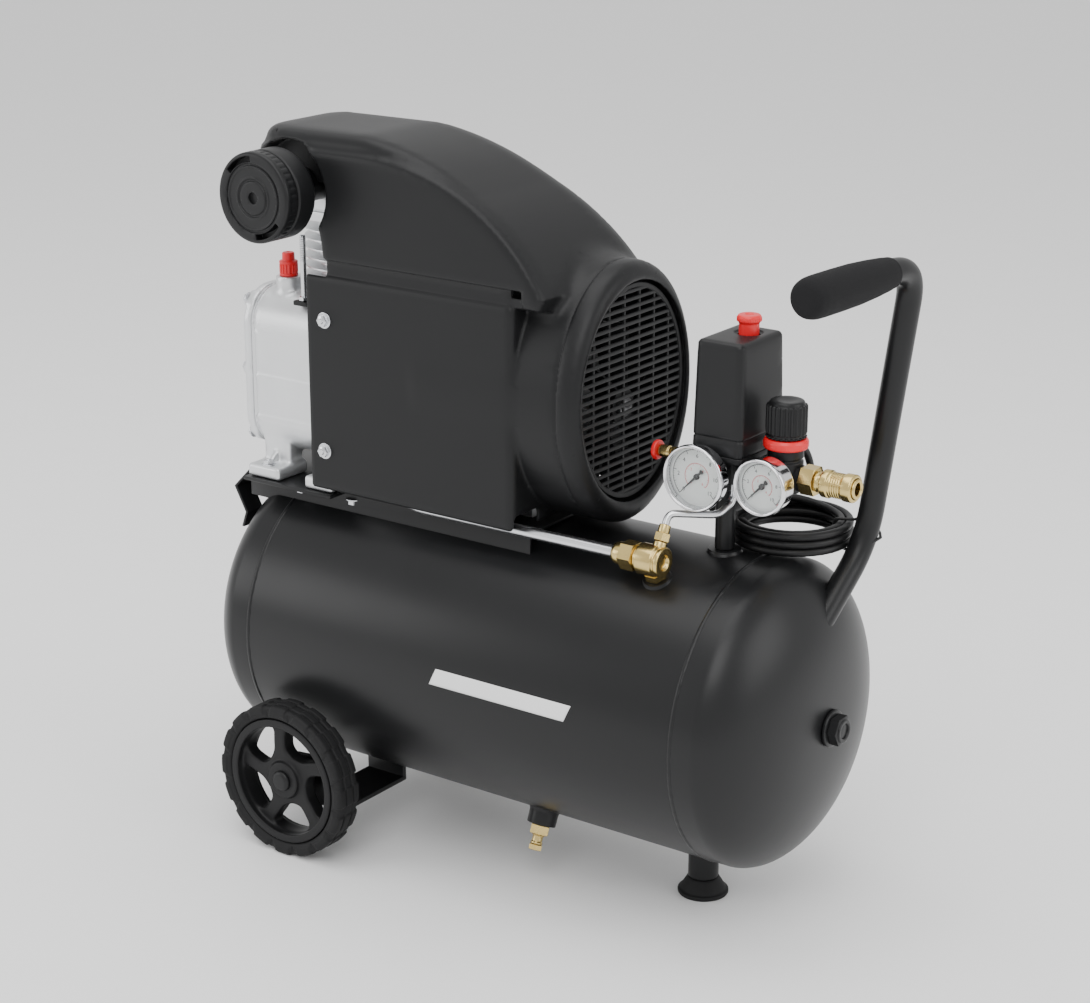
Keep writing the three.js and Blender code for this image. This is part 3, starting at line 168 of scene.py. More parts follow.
MAT = {
    "tank_paint": node_material("tank_paint", (0.008, 0.0082, 0.0088), 0.34, grain=700, bump=0.12,
                                strength=0.35,
                                rough_vary=0.04, vary=0.1, **{"Specular IOR Level": 0.3}),
    "shroud_plastic": node_material("shroud_plastic", (0.008, 0.0082, 0.0088), 0.42, grain=1500, bump=0.1,
                                    strength=0.45, rough_vary=0.04, **{"Specular IOR Level": 0.25}),
    "black_plastic": node_material("black_plastic", (0.008, 0.0082, 0.0088), 0.4, grain=1600, bump=0.08,
                                   **{"Specular IOR Level": 0.28}),
    "wheel_plastic": node_material("wheel_plastic", (0.008, 0.008, 0.0086), 0.5, grain=1300, bump=0.1,
                                   **{"Specular IOR Level": 0.25}),
    "tyre_rubber": node_material("tyre_rubber", (0.009, 0.009, 0.0095), 0.66, grain=900, bump=0.16, vary=0.25,
                                 **{"Specular IOR Level": 0.25}),
    "foam": node_material("foam", (0.009, 0.009, 0.0098), 0.8, grain=1700, bump=0.5, strength=0.9, vary=0.25,
                          **{"Specular IOR Level": 0.2}),
    "cast_aluminium": node_material("cast_aluminium", (0.72, 0.73, 0.74), 0.38, 0.85, grain=1100, bump=0.22,
                                    strength=0.6, vary=0.07, rough_vary=0.1, vary_scale=30),
    "pipe_aluminium": node_material("pipe_aluminium", (0.75, 0.76, 0.78), 0.27, 1.0, stretch=(0.1, 1, 1),
                                    grain=900,
                                    bump=0.05),
    "zinc_steel": node_material("zinc_steel", (0.66, 0.67, 0.69), 0.25, 1.0, grain=1200, bump=0.05, vary=0.1),
    "machined_steel": node_material("machined_steel", (0.4, 0.4, 0.41), 0.35, 1.0, stretch=(4, 1, 1),
                                    bump=0.05),
    "laminations": node_material("laminations", (0.2, 0.2, 0.21), 0.5, 0.8, stretch=(12, 0.2, 0.2),
                                 grain=160),
    "copper": node_material("copper", (0.62, 0.2, 0.09), 0.35, 0.9, stretch=(1, 6, 6), grain=500, bump=0.4),
    "brass": node_material("brass", (0.66, 0.50, 0.20), 0.24, 1.0, grain=700, bump=0.06, vary=0.14,
                           vary_scale=60,
                           rough_vary=0.08),
    "chrome": node_material("chrome", (0.74, 0.74, 0.76), 0.1, 1.0, grain=400, bump=0.01, rough_vary=0.03),
    "red_plastic": node_material("red_plastic", (0.78, 0.012, 0.018), 0.33, grain=1500, bump=0.04, vary=0.06),
    "dial_white": node_material("dial_white", (0.86, 0.86, 0.84), 0.5, grain=600, bump=0.01, vary=0.02),
    "dial_black": node_material("dial_black", (0.015, 0.015, 0.015), 0.5, bump=0.01),
    "dial_red": node_material("dial_red", (0.7, 0.02, 0.02), 0.5, bump=0.01, vary=0.05),
    "decal_white": node_material("decal_white", (0.82, 0.82, 0.82), 0.38, grain=900, bump=0.03, vary=0.03),
    "cord_pvc": node_material("cord_pvc", (0.009, 0.009, 0.0095), 0.42, grain=1200, bump=0.06,
                              **{"Specular IOR Level": 0.3}),
    "glass": glass_material("lens_glass", (0.96, 0.98, 0.98)),
    "oil_glass": glass_material("oil_glass", (0.85, 0.66, 0.3)),
}


# ---------------------------------------------------------------- mesh helpers
def finish_mesh(name, bm, material, body="frame", replaces=(), smooth_angle=35):
    """Makes the object, shades it smooth up to an angle, and rides it on its body."""
    bmesh.ops.remove_doubles(bm, verts=bm.verts, dist=1e-7)
    bmesh.ops.recalc_face_normals(bm, faces=bm.faces)
    mesh = bpy.data.meshes.new(name)
    bm.to_mesh(mesh)
    bm.free()
    mesh.materials.append(MAT[material])
    mesh.polygons.foreach_set("use_smooth", [True] * len(mesh.polygons))
    mesh.set_sharp_from_angle(angle=radians(smooth_angle))
    piece = bpy.data.objects.new(name, mesh)
    bpy.context.collection.objects.link(piece)
    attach(piece, body)
    if replaces:
        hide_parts(*replaces)
    return piece


AXIS_TURN = {
    "x": Matrix(((0, 0, 1), (1, 0, 0), (0, 1, 0))),
    "y": Matrix(((1, 0, 0), (0, 0, 1), (0, -1, 0))),
    "z": Matrix.Identity(3),
}


def rounded(profile, radii, steps=4):
    """A profile whose corners are rounded; radii is one number or one for each point."""
    count = len(profile)
    if not isinstance(radii, (list, tuple)):
        radii = [radii] * count
    out = []
    for i, point in enumerate(profile):
        here = Vector(point)
        if i in (0, count - 1) or radii[i] <= 0:
            out.append(here)
            continue
        before, after = Vector(profile[i - 1]) - here, Vector(profile[i + 1]) - here
        reach = min(radii[i], before.length * 0.49, after.length * 0.49)
        start, end = here + before.normalized() * reach, here + after.normalized() * reach
        for k in range(steps + 1):
            t = k / steps
            out.append(start * (1 - t) ** 2 + here * 2 * t * (1 - t) + end * t ** 2)
    return [tuple(p) for p in out]


def turned(bm, profile, centre=(0, 0, 0), axis="z", sides=64, direction=None, closed=False):
    """Adds a profile of (radius, distance) in mm, turned about an axis through centre."""
    turn = AXIS_TURN[axis].copy()
    if direction is not None:
        turn = Vector(direction).to_track_quat("Z", "Y").to_matrix()
    base = at(*centre)
    rings = []
    for radius, distance in profile:
        if radius < 1e-6:
            rings.append([bm.verts.new(base + turn @ Vector((0, 0, distance * MM)))])
            continue
        ring = []
        for k in range(sides):
            angle = 2 * pi * k / sides
            local = Vector((radius * cos(angle), radius * sin(angle), distance)) * MM
            ring.append(bm.verts.new(base + turn @ local))
        rings.append(ring)
    pairs = list(zip(rings, rings[1:]))
    if closed:
        pairs.append((rings[-1], rings[0]))
    for low, high in pairs:
        for k in range(sides):
            n = (k + 1) % sides
            quad = [low[k % len(low)], low[n % len(low)], high[n % len(high)], high[k % len(high)]]
            unique = list(dict.fromkeys(quad))
            if len(unique) > 2:
                bm.faces.new(unique)
    return bm


def prism(bm, outline, low, high, plane="xy", bevel=0.0, centre=(0, 0, 0), segments=3):
    """Adds a closed outline in mm, drawn in xy, xz or yz, as a solid between two heights with eased edges."""
    order = {"xy": (0, 1, 2), "xz": (0, 2, 1), "yz": (1, 2, 0)}[plane]
    points = [Vector(p) for p in outline]
    area = sum(a.x * b.y - b.x * a.y for a, b in zip(points, points[1:] + points[:1]))
    if area < 0:
        points.reverse()
    count = len(points)

    def inset(amount):
        out = []
        for i, here in enumerate(points):
            before, after = points[i - 1], points[(i + 1) % count]
            n1 = Vector(((here - before).y, -(here - before).x)).normalized()
            n2 = Vector(((after - here).y, -(after - here).x)).normalized()
            mid = n1 + n2
            if mid.length < 1e-6:
                mid = n1
            scale = min(1 / max(mid.normalized().dot(n1), 0.35), 2.5)
            out.append(here - mid.normalized() * amount * scale)
        return out

    if bevel > 0:
        levels = [(low + bevel * (1 - cos((pi / 2) * k / segments)),
                   bevel * (1 - sin((pi / 2) * k / segments)))
                  for k in range(segments + 1)]
        levels += [(high - (z - low), i) for z, i in reversed(levels)]
    else:
        levels = [(low, 0), (high, 0)]
    loops = []
    for z, amount in levels:
        loop = []
        for p in inset(amount):
            local = [p.x, p.y, z]
            spot = [0, 0, 0]
            for source, target in enumerate(order):
                spot[target] = local[source]
            loop.append(bm.verts.new(at(*(a + b for a, b in zip(spot, centre)))))
        loops.append(loop)
    for low_loop, high_loop in zip(loops, loops[1:]):
        for k in range(count):
            n = (k + 1) % count
            bm.faces.new([low_loop[k], low_loop[n], high_loop[n], high_loop[k]])
    bm.faces.new(loops[0][::-1])
    bm.faces.new(loops[-1])
    return bm


def rectangle(a0, a1, b0, b1, corner=0.0, steps=5):
    """A rectangle's outline with round corners."""
    if corner <= 0:
        return [(a0, b0), (a1, b0), (a1, b1), (a0, b1)]
    centres = [(a1 - corner, b0 + corner, -90), (a1 - corner, b1 - corner, 0), (a0 + corner, b1 - corner, 90),
               (a0 + corner, b0 + corner, 180)]
    out = []
    for a, b, start in centres:
        for k in range(steps + 1):
            angle = radians(start + 90 * k / steps)
            out.append((a + corner * cos(angle), b + corner * sin(angle)))
    return out


def hexagon(radius, angle=0.0, sides=6):
    return [(radius * cos(radians(angle) + 2 * pi * k / sides),
             radius * sin(radians(angle) + 2 * pi * k / sides))
            for k in range(sides)]


def nut(bm, radius, low, high, centre, axis="z", direction=None, sides=6, ease=0.8):
    """Adds a nut or hexagon head: a hexagon whose ends are chamfered."""
    turn = AXIS_TURN[axis] if direction is None else Vector(direction).to_track_quat("Z", "Y").to_matrix()
    base = at(*centre)
    loops = []
    for z, scale in ((low, 1 - ease / radius), (low + ease * 0.6, 1), (high - ease * 0.6, 1),
                     (high, 1 - ease / radius)):
        loops.append([bm.verts.new(base + turn @ (Vector((x * scale, y * scale, z)) * MM))
                      for x, y in hexagon(radius, 0, sides)])
    for a, b in zip(loops, loops[1:]):
        for k in range(sides):
            bm.faces.new([a[k], a[(k + 1) % sides], b[(k + 1) % sides], b[k]])
    bm.faces.new(loops[0][::-1])
    bm.faces.new(loops[-1])
    return bm


def bezier_route(points, bend, steps=8):
    """Points in mm along straight runs whose corners are rounded."""
    p = [Vector(q) for q in points]
    out = [p[0]]
    for before, here, after in zip(p, p[1:], p[2:]):
        start = here + (before - here).normalized() * bend
        end = here + (after - here).normalized() * bend
        for k in range(steps + 1):
            t = k / steps
            out.append(start * (1 - t) ** 2 + here * 2 * t * (1 - t) + end * t ** 2)
    out.append(p[-1])
    return out


def catmull(points, steps=10):
    """A smooth line through given points."""
    p = [Vector(q) for q in points]
    p = [p[0] * 2 - p[1]] + p + [p[-1] * 2 - p[-2]]
    out = []
    for a, b, c, d in zip(p, p[1:], p[2:], p[3:]):
        for k in range(steps):
            t = k / steps
            out.append(0.5 * (2 * b + (c - a) * t + (2 * a - 5 * b + 4 * c - d) * t ** 2
                              + (3 * b - a - 3 * c + d) * t ** 3))
    out.append(p[-2])
    return out


def swept(bm, line, radius, sides=24, caps=True):
    """Adds a round tube along a line of points in mm; radius is a number or a function of 0..1 along it."""
    line = [Vector(q) for q in line]
    tangents = [(b - a).normalized() for a, b in zip(line, line[1:])]
    tangents.append(tangents[-1])
    side = tangents[0].orthogonal().normalized()
    loops = []
    for i, here in enumerate(line):
        tangent = tangents[i] if i == 0 else (tangents[i - 1] + tangents[i]).normalized()
        side = (side - tangent * side.dot(tangent)).normalized()
        other = tangent.cross(side)
        size = radius(i / (len(line) - 1)) if callable(radius) else radius
        loop = []
        for k in range(sides):
            angle = 2 * pi * k / sides
            loop.append(bm.verts.new(at(*(here + (side * cos(angle) + other * sin(angle)) * size))))
        loops.append(loop)
    for a, b in zip(loops, loops[1:]):
        for k in range(sides):
            bm.faces.new([a[k], a[(k + 1) % sides], b[(k + 1) % sides], b[k]])
    if caps:
        bm.faces.new(loops[0][::-1])
        bm.faces.new(loops[-1])
    return bm


# ---------------------------------------------------------------- soft-edged solids from distance fields
class Field:
    """A grid of signed distances in mm, for mouldings and castings whose edges all run into fillets."""

    def __init__(self, low, high, step):
        self.low, self.step = np.array(low, float), step
        axes = [np.arange(a, b + step, step, dtype=np.float32) for a, b in zip(low, high)]
        self.x, self.y, self.z = np.meshgrid(*axes, indexing="ij", sparse=True)

    def box(self, x0, x1, y0, y1, z0, z1, r=0.0):
        q = [abs(v - (a + b) / 2) - (b - a) / 2 + r for v, a, b in
             ((self.x, x0, x1), (self.y, y0, y1), (self.z, z0, z1))]
        outside = np.sqrt(sum(np.maximum(v, 0) ** 2 for v in q))
        return outside + np.minimum(np.maximum(np.maximum(q[0], q[1]), q[2]), 0) - r

    def rod(self, axis, a, b, radius, low=-1e4, high=1e4):
        """A cylinder along an axis; a and b are its centre on the other two axes."""
        u, v, w = {"x": (self.y, self.z, self.x), "y": (self.x, self.z, self.y),
                   "z": (self.x, self.y, self.z)}[axis]
        return np.maximum(np.sqrt((u - a) ** 2 + (v - b) ** 2) - radius, np.maximum(low - w, w - high))

    def outline(self, points, plane="xz"):
        """The signed distance to a closed outline that is the same all along the third axis."""
        u, v = {"xz": (self.x, self.z), "xy": (self.x, self.y), "yz": (self.y, self.z)}[plane]
        best = np.full(np.broadcast_shapes(u.shape, v.shape), 1e9, np.float32)
        inside = np.zeros(best.shape, bool)
        for (ax, ay), (bx, by) in zip(points, points[1:] + points[:1]):
            ex, ey = bx - ax, by - ay
            t = np.clip(((u - ax) * ex + (v - ay) * ey) / (ex * ex + ey * ey), 0, 1)
            best = np.minimum(best, (u - ax - t * ex) ** 2 + (v - ay - t * ey) ** 2)
            crosses = (ay > v) != (by > v)
            inside ^= crosses & (u < (bx - ax) * (v - ay) / ((by - ay) or 1e-9) + ax)
        return np.sqrt(best) * np.where(inside, -1, 1)

    def mesh(self, bm, distance, adaptivity=0.0):
        """Adds the surface where the distance is zero."""
        full = np.broadcast_to(distance, (self.x.shape[0], self.y.shape[1],
                                          self.z.shape[2])).astype(np.float32)
        grid = openvdb.FloatGrid(1e3)
        grid.copyFromArray(np.ascontiguousarray(full))
        points, triangles, quads = grid.convertToPolygons(isovalue=0.0, adaptivity=adaptivity)
        verts = [bm.verts.new(at(*(self.low + p * self.step))) for p in points.astype(float)]
        for face in list(quads) + list(triangles):
            corners = list(dict.fromkeys(int(i) for i in face))
            if len(corners) > 2:
                try:
                    bm.faces.new([verts[i] for i in corners])
                except ValueError:
                    pass
        return bm


def blend_union(a, b, k):
    h = np.clip(0.5 + 0.5 * (b - a) / k, 0, 1)
    return b * (1 - h) + a * h - k * h * (1 - h)


def blend_cut(a, b, k):
    """What a and b share, with the edge between them rounded."""
    return -blend_union(-a, -b, k)


# ---------------------------------------------------------------- power cord
CORD_R = 3.2
COIL_CENTRE = tuple(sum(p[i] for p in box_mm("cord_coil")) / 2 for i in range(2))
COIL_LOW = box_mm("cord_coil")[0][2]
LEVELS = [COIL_LOW + CORD_R * (2 * k + 1) for k in range(3)]
COIL_INNER, COIL_OUTER = 39.5, 45.9
CORD_ROUTE = [
    (197, 59.3, 371), (197, 70, 371), (197.5, 81, 368.5), (198.5, 91, 361), (199, 98, 350),
    (198, 102, 339), (193, 103, 329.5), (185, 99, 323.5), (177, 91.5, 321.6),
]
TAIL_ROUTE = [(173.8, 76.3, 321.7), (168.5, 71, 323.5), (163, 65, 326), (161, 58, 327.4)]


def coil_points():
    """The coil from where the cord lands to where its tail leaves: three outer turns, then three inner."""
    keys = [(0, 46.8, LEVELS[2] + 6.8), (45, COIL_OUTER, LEVELS[2]), (360, COIL_OUTER, LEVELS[2]),
            (400, COIL_OUTER, LEVELS[1]), (720, COIL_OUTER, LEVELS[1]), (760, COIL_OUTER, LEVELS[0]),
            (1080, COIL_OUTER, LEVELS[0]), (1120, COIL_INNER, LEVELS[0]), (1500, COIL_INNER, LEVELS[0]),
            (1540, COIL_INNER, LEVELS[1]), (1860, COIL_INNER, LEVELS[1]), (1900, COIL_INNER, LEVELS[2]),
            (2085, COIL_INNER, LEVELS[2]), (2179, COIL_INNER, LEVELS[2] + 6.9)]
    start = math.degrees(math.atan2(CORD_ROUTE[-1][1] - COIL_CENTRE[1], CORD_ROUTE[-1][0] - COIL_CENTRE[0]))
    out = []
    for degrees in range(10, 2170, 10):
        k = max(i for i, key in enumerate(keys) if key[0] <= degrees)
        (a0, r0, z0), (a1, r1, z1) = keys[k], keys[k + 1]
        t = (degrees - a0) / (a1 - a0)
        t = t * t * (3 - 2 * t)
        angle = radians(start + degrees)
        radius = r0 + (r1 - r0) * t
        out.append((COIL_CENTRE[0] + radius * cos(angle), COIL_CENTRE[1] + radius * sin(angle),
                    z0 + (z1 - z0) * t))
    return out


def make_plug():
    low, high = box_mm("power_plug")
    x, z, rear = (low[0] + high[0]) / 2, (low[2] + high[2]) / 2, high[1]
    f = Field((x - 15, rear - 42, z - 12), (x + 15, rear + 2, z + 12), 0.6)
    body = f.box(x - 11.8, x + 11.8, rear - 36, rear - 12, z - 8.8, z + 8.8, r=4.5)
    neck = f.rod("y", x, z, 5.2, rear - 20, rear - 0.2)
    solid = blend_union(body, neck, 9)
    for k in range(4):
        groove = abs(f.y - (rear - 3 - 2.4 * k)) - 0.6
        solid = blend_cut(solid, -np.maximum(groove, 4.4 - np.sqrt((f.x - x) ** 2 + (f.z - z) ** 2)), 0.5)
    bm = bmesh.new()
    f.mesh(bm, solid)
    plug = finish_mesh("plug_body", bm, "cord_pvc", replaces=("power_plug",))
    bm = bmesh.new()
    for side in (-9.5, 9.5):
        turned(bm, rounded([(0, 0), (2.4, 0), (2.4, 19), (0, 19)], [0, 1.2, 0, 0]),
               (x + side, rear - 54.6, z), "y", 20)
    pins = finish_mesh("plug_pins", bm, "zinc_steel")
    return plug, pins


def make_cord():
    line = catmull(CORD_ROUTE, 8)[:-1] + [Vector(p) for p in coil_points()] + catmull(TAIL_ROUTE, 6)
    curve = bpy.data.curves.new("power_lead", "CURVE")
    curve.dimensions = "3D"
    spline = curve.splines.new("POLY")
    spline.points.add(len(line) - 1)
    for point, here in zip(spline.points, line):
        point.co = (*at(*here), 1)
    curve.bevel_depth = CORD_R * MM
    curve.bevel_resolution = 5
    curve.use_fill_caps = True
    curve.materials.append(MAT["cord_pvc"])
    lead = bpy.data.objects.new("power_lead", curve)
    bpy.context.collection.objects.link(lead)
    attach(lead, "frame")
    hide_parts("power_cord", "cord_coil", "cord_tail")
    plug, pins = make_plug()


make_cord()


# ---------------------------------------------------------------- tank, feet and wheels
def weld_bead(bm, radius, x, thickness, seed):
    """A bead of weld round the tank, a little uneven along its length."""
    rng = np.random.default_rng(seed)
    waves = [(rng.integers(9, 90), rng.uniform(0, 2 * pi), rng.uniform(0.05, 0.16)) for _ in range(9)]
    sides, section = 420, 8
    loops = []
    for k in range(sides):
        a = 2 * pi * k / sides
        ripple = 0.3 * abs(sin(a * 105)) + sum(w * sin(n * a + p) for n, p, w in waves)
        loop = []
        for j in range(section):
            b = 2 * pi * j / section
            r = radius + (thickness + 0.4 * ripple) * sin(b)
            loop.append(bm.verts.new(at(x + (thickness * 1.9) * cos(b) + 0.25 * ripple, r * cos(a),
                                        TANK_Z + r * sin(a))))
        loops.append(loop)
    for k in range(sides):
        a, b = loops[k], loops[(k + 1) % sides]
        for j in range(section):
            bm.faces.new([a[j], a[(j + 1) % section], b[(j + 1) % section], b[j]])


def make_tank():
    bm = bmesh.new()
    turned(bm, rounded([(TANK_R - 2.5, -SEAM), (TANK_R - 0.05, -SEAM), (TANK_R - 0.05, SEAM),
                        (TANK_R - 2.5, SEAM)],
                       [0, 0.6, 0.6, 0]), (0, 0, TANK_Z), "x", 160)
    finish_mesh("tank_shell", bm, "tank_paint", replaces=("tank_wrapper",))
    for side, node in ((-1, "tank_head_left"), (1, "tank_head_right")):
        flange = SEAM + 18
        tip = DOME_X
        profile = [(TANK_R - 2.5, SEAM - 1), (TANK_R - 0.1, SEAM - 1), (TANK_R - 0.1, flange)]
        depth = tip - flange
        for k in range(1, 25):
            a = (pi / 2) * k / 24
            flat = sin(a) ** 1.15
            profile.append((max(0.0, (TANK_R - 0.1) * cos(a) ** 0.82), flange + depth * flat))
        profile[-1] = (0.0, tip)
        bm = bmesh.new()
        turned(bm, [(r, side * d) for r, d in profile], (0, 0, TANK_Z), "x", 160)
        finish_mesh("tank_dome_" + ("left" if side < 0 else "right"), bm, "tank_paint", replaces=(node,))
        bm = bmesh.new()
        weld_bead(bm, TANK_R - 0.7, side * (SEAM + 0.5), 1.15, 40 + side)
        finish_mesh("weld_" + ("left" if side < 0 else "right"), bm, "tank_paint",
                    smooth_angle=60)


def make_end_plug():
    low, high = box_mm("end_plug")
    bm = bmesh.new()
    turned(bm, rounded([(0, 0.2), (15, 0.2), (15, 3), (12.5, 3.4), (0, 3.4)], [0, 0.5, 1, 0.5, 0]),
           (low[0], 0, TANK_Z), "x", 72)
    nut(bm, 12.5, 3.0, high[0] - low[0] - 1.6, (low[0], 0, TANK_Z), "x", ease=1.3)
    turned(bm, rounded([(9.6, 8), (9.6, high[0] - low[0] - 0.4), (6.2, high[0] - low[0] - 0.4), (5.6, 9.5),
                        (0, 9.5)],
                       [0, 1, 1, 0.5, 0]), (low[0], 0, TANK_Z), "x", 48)
    finish_mesh("end_plug_cap", bm, "tank_paint", replaces=("end_plug",))


def make_foot():
    low, high = box_mm("rubber_foot")
    base = high[2] + 0.3
    bm = bmesh.new()
    turned(bm, rounded([(0, base), (12.5, base), (12.5, TANK_Z - TANK_R + 4), (0, TANK_Z - TANK_R + 4)],
                       [0, 1, 0, 0]),
           (FOOT_X, 0, 0), "z", 48)
    turned(bm, rounded([(12.4, TANK_Z - TANK_R - 3.2), (14.4, TANK_Z - TANK_R - 1.2),
                        (16.2, TANK_Z - TANK_R + 1.4)], 1),
           (FOOT_X, 0, 0), "z", 48)
    finish_mesh("foot_stud", bm, "tank_paint")
    rim, top = (high[0] - low[0]) / 2, high[2] - low[2]
    bm = bmesh.new()
    turned(bm, rounded([(0, 2.2), (9, 2.2), (11, 0), (rim - 0.6, 0), (rim - 0.1, 1.2), (rim - 0.1, 3.2),
                        (rim - 2.2, 4.2),
                        (13.4, top - 1.2), (12.2, top), (0, top)], 0.8), (FOOT_X, 0, 0), "z", 72)
    finish_mesh("foot_rubber", bm, "tyre_rubber", replaces=("rubber_foot",))


def wheel_side(f, y, out):
    """The distance field of one wheel's rim: dish, ring, hub and curved spokes round five windows."""
    r = np.sqrt((f.x - AXLE_X) ** 2 + (f.z - WHEEL_R) ** 2)
    angle = np.arctan2(f.z - WHEEL_R, f.x - AXLE_X)
    across = (f.y - y) * out
    turn = (angle - radians(100) + (r - 35) * 0.006) * 5 / (2 * pi)
    spoke = abs(turn - np.round(turn)) * 2 * pi / 5 * r * 0.85 - 5.4
    star = blend_union(blend_union(r - 22, spoke, 9), 47.5 - r, 9)
    web = blend_cut(np.maximum(star, r - 50), abs(across + 1) - 6.5, 2.4)
    ring = np.maximum(np.maximum(r - 54.8, 48.0 - r), abs(across) - 12)
    hub = np.maximum(r - 17 + 0.12 * np.maximum(across, 0), abs(across) - 9.4)
    return blend_union(blend_union(web, ring, 2.5), hub, 2.5)


def tyre_field(f, y):
    """A moulded tyre: raised blocks round the tread and sides, joints between them and two grooves."""
    r = np.sqrt((f.x - AXLE_X) ** 2 + (f.z - WHEEL_R) ** 2)
    across = abs(f.y - y)
    turn = np.arctan2(f.z - WHEEL_R, f.x - AXLE_X) * 16 / (2 * pi)
    along = abs(turn - np.round(turn)) * 2 * pi / 16 * r

    def section(outer, half, corner):
        qr, qa = abs(r - (outer + 55.2) / 2) - (outer - 55.2) / 2 + corner, across - half + corner
        outside = np.sqrt(np.maximum(qr, 0) ** 2 + np.maximum(qa, 0) ** 2)
        return outside + np.minimum(np.maximum(qr, qa), 0) - corner

    solid = section(65.7, 12.4, 3.6)
    blocks = blend_cut(section(66.9, 13.3, 3.4), np.maximum(along - 8.2, 59.5 - r), 0.8)
    solid = blend_union(solid, blocks, 0.8)
    joints = np.maximum(np.maximum(abs(along - 11.4) - 0.6, 57.5 - r), 11.4 - across)
    grooves = np.maximum(abs(across - 4.6) - 1.0, 65.0 - r)
    return blend_cut(solid, -np.minimum(joints, grooves), 0.7)


def make_wheel(side, node_side, body):
    low, high = box_mm("wheel_tyre_" + node_side)
    y = (low[1] + high[1]) / 2
    out = -1 if y < 0 else 1
    f = Field((AXLE_X - 57, y - 14, WHEEL_R - 57), (AXLE_X + 57, y + 14, WHEEL_R + 57), 0.9)
    bore = f.rod("y", AXLE_X, WHEEL_R, 5.6)
    bm = bmesh.new()
    f.mesh(bm, blend_cut(wheel_side(f, y, out), -bore, 0.8))
    finish_mesh(side + "_rim", bm, "wheel_plastic", body, ("wheel_rim_" + node_side,), 50)
    f = Field((AXLE_X - 69, y - 15, WHEEL_R - 69), (AXLE_X + 69, y + 15, WHEEL_R + 69), 0.8)
    bm = bmesh.new()
    f.mesh(bm, tyre_field(f, y))
    finish_mesh(side + "_tyre", bm, "tyre_rubber", body, ("wheel_tyre_" + node_side,), 40)


def make_wheels():
    make_wheel("near_wheel", "front", "front_wheel")
    make_wheel("far_wheel", "rear", "rear_wheel")
    for name, node in (("near", "axle_bolt_front"), ("far", "axle_bolt_rear")):
        low, high = box_mm(node)
        out = -1 if low[1] < 0 else 1
        start, end = (high[1], low[1]) if out < 0 else (low[1], high[1])
        span = abs(end - start)
        bm = bmesh.new()
        turned(bm, rounded([(0, 0), (4.9, 0), (4.9, out * (span - 4)), (0, out * (span - 4))], 0.4),
               (AXLE_X, start, WHEEL_R),
               "y", 40)
        turned(bm, rounded([(4.9, out * (span - 4.4)), (8.9, out * (span - 4.2)), (8.9, out * (span - 1.8)),
                            (6.6, out * span), (0, out * span)], [0, 0.6, 1.0, 1.8, 0]),
               (AXLE_X, start, WHEEL_R), "y", 56)
        finish_mesh(name + "_axle_bolt", bm, "black_plastic", replaces=(node,))


def make_stripe():
    """A plain slanted stripe of white print on the tank's front."""
    left, right, lean = -14, 118, 6
    low_angle, high_angle = 3.2, 9.6
    steps, rows = 60, 8
    radius = TANK_R + 0.12
    bm = bmesh.new()
    grid = []
    for i in range(steps + 1):
        row = []
        for j in range(rows + 1):
            a = radians(low_angle + (high_angle - low_angle) * j / rows)
            x = left + (right - left) * i / steps + lean * (j / rows - 0.5)
            row.append(bm.verts.new(at(x, -radius * cos(a), TANK_Z + radius * sin(a))))
        grid.append(row)
    for i in range(steps):
        for j in range(rows):
            bm.faces.new([grid[i][j], grid[i + 1][j], grid[i + 1][j + 1], grid[i][j + 1]])
    stripe = finish_mesh("tank_stripe", bm, "decal_white")
    solid = stripe.modifiers.new("thickness", "SOLIDIFY")
    solid.thickness = 0.1 * MM
    solid.offset = -1


make_tank()
make_end_plug()
make_foot()
make_wheels()
make_stripe()


# ---------------------------------------------------------------- bracket, platform, hook and drain
def plain_replica(node, name, material, bevel=0.6, angle=30, body="frame"):
    """A finer copy of a CAD node's own mesh with its edges eased."""
    source = bpy.data.objects[node]
    mesh = source.data.copy()
    mesh.materials.clear()
    mesh.materials.append(MAT[material])
    bm = bmesh.new()
    bm.from_mesh(mesh)
    bmesh.ops.transform(bm, matrix=source.matrix_world, verts=bm.verts)
    bmesh.ops.remove_doubles(bm, verts=bm.verts, dist=1e-6)
    bmesh.ops.dissolve_limit(bm, angle_limit=radians(1), verts=bm.verts, edges=bm.edges)
    if bevel > 0:
        edges = [e for e in bm.edges if len(e.link_faces) == 2 and e.calc_face_angle(0) > radians(angle)]
        bmesh.ops.bevel(bm, geom=edges, offset=bevel * MM, segments=2, affect="EDGES", profile=0.5,
                        clamp_overlap=True)
    bm.to_mesh(mesh)
    bm.free()
    mesh.polygons.foreach_set("use_smooth", [True] * len(mesh.polygons))
    mesh.set_sharp_from_angle(angle=radians(angle))
    piece = bpy.data.objects.new(name, mesh)
    bpy.context.collection.objects.link(piece)
    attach(piece, body)
    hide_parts(node)
    return piece


plain_replica("wheel_bracket", "axle_bracket", "tank_paint", 0.7)
plain_replica("pump_platform", "pump_saddle", "tank_paint", 0.7)
plain_replica("platform_hook", "saddle_hook", "tank_paint", 0.7)


def bolt(bm, place, axis, radius=5.0, head=4.0, out=1, washer=True):
    """Adds a flanged hexagon bolt head that stands out of a surface along an axis, or against it."""
    if washer:
        turned(bm, rounded([(0, -0.4 * out), (radius * 1.35, -0.4 * out), (radius * 1.35, 0.9 * out),
                            (0, 1.3 * out)],
                           [0, 0.3, 0.3, 0]), place, axis, 36)
    low, high = sorted((0.6 * out, head * out))
    nut(bm, radius, low, high, place, axis)
    turned(bm, [(0, (head - 0.2) * out), (radius * 0.5, (head - 0.2) * out),
                (radius * 0.4, (head + 0.9) * out),
                (0, (head + 0.9) * out)], place, axis, 24)


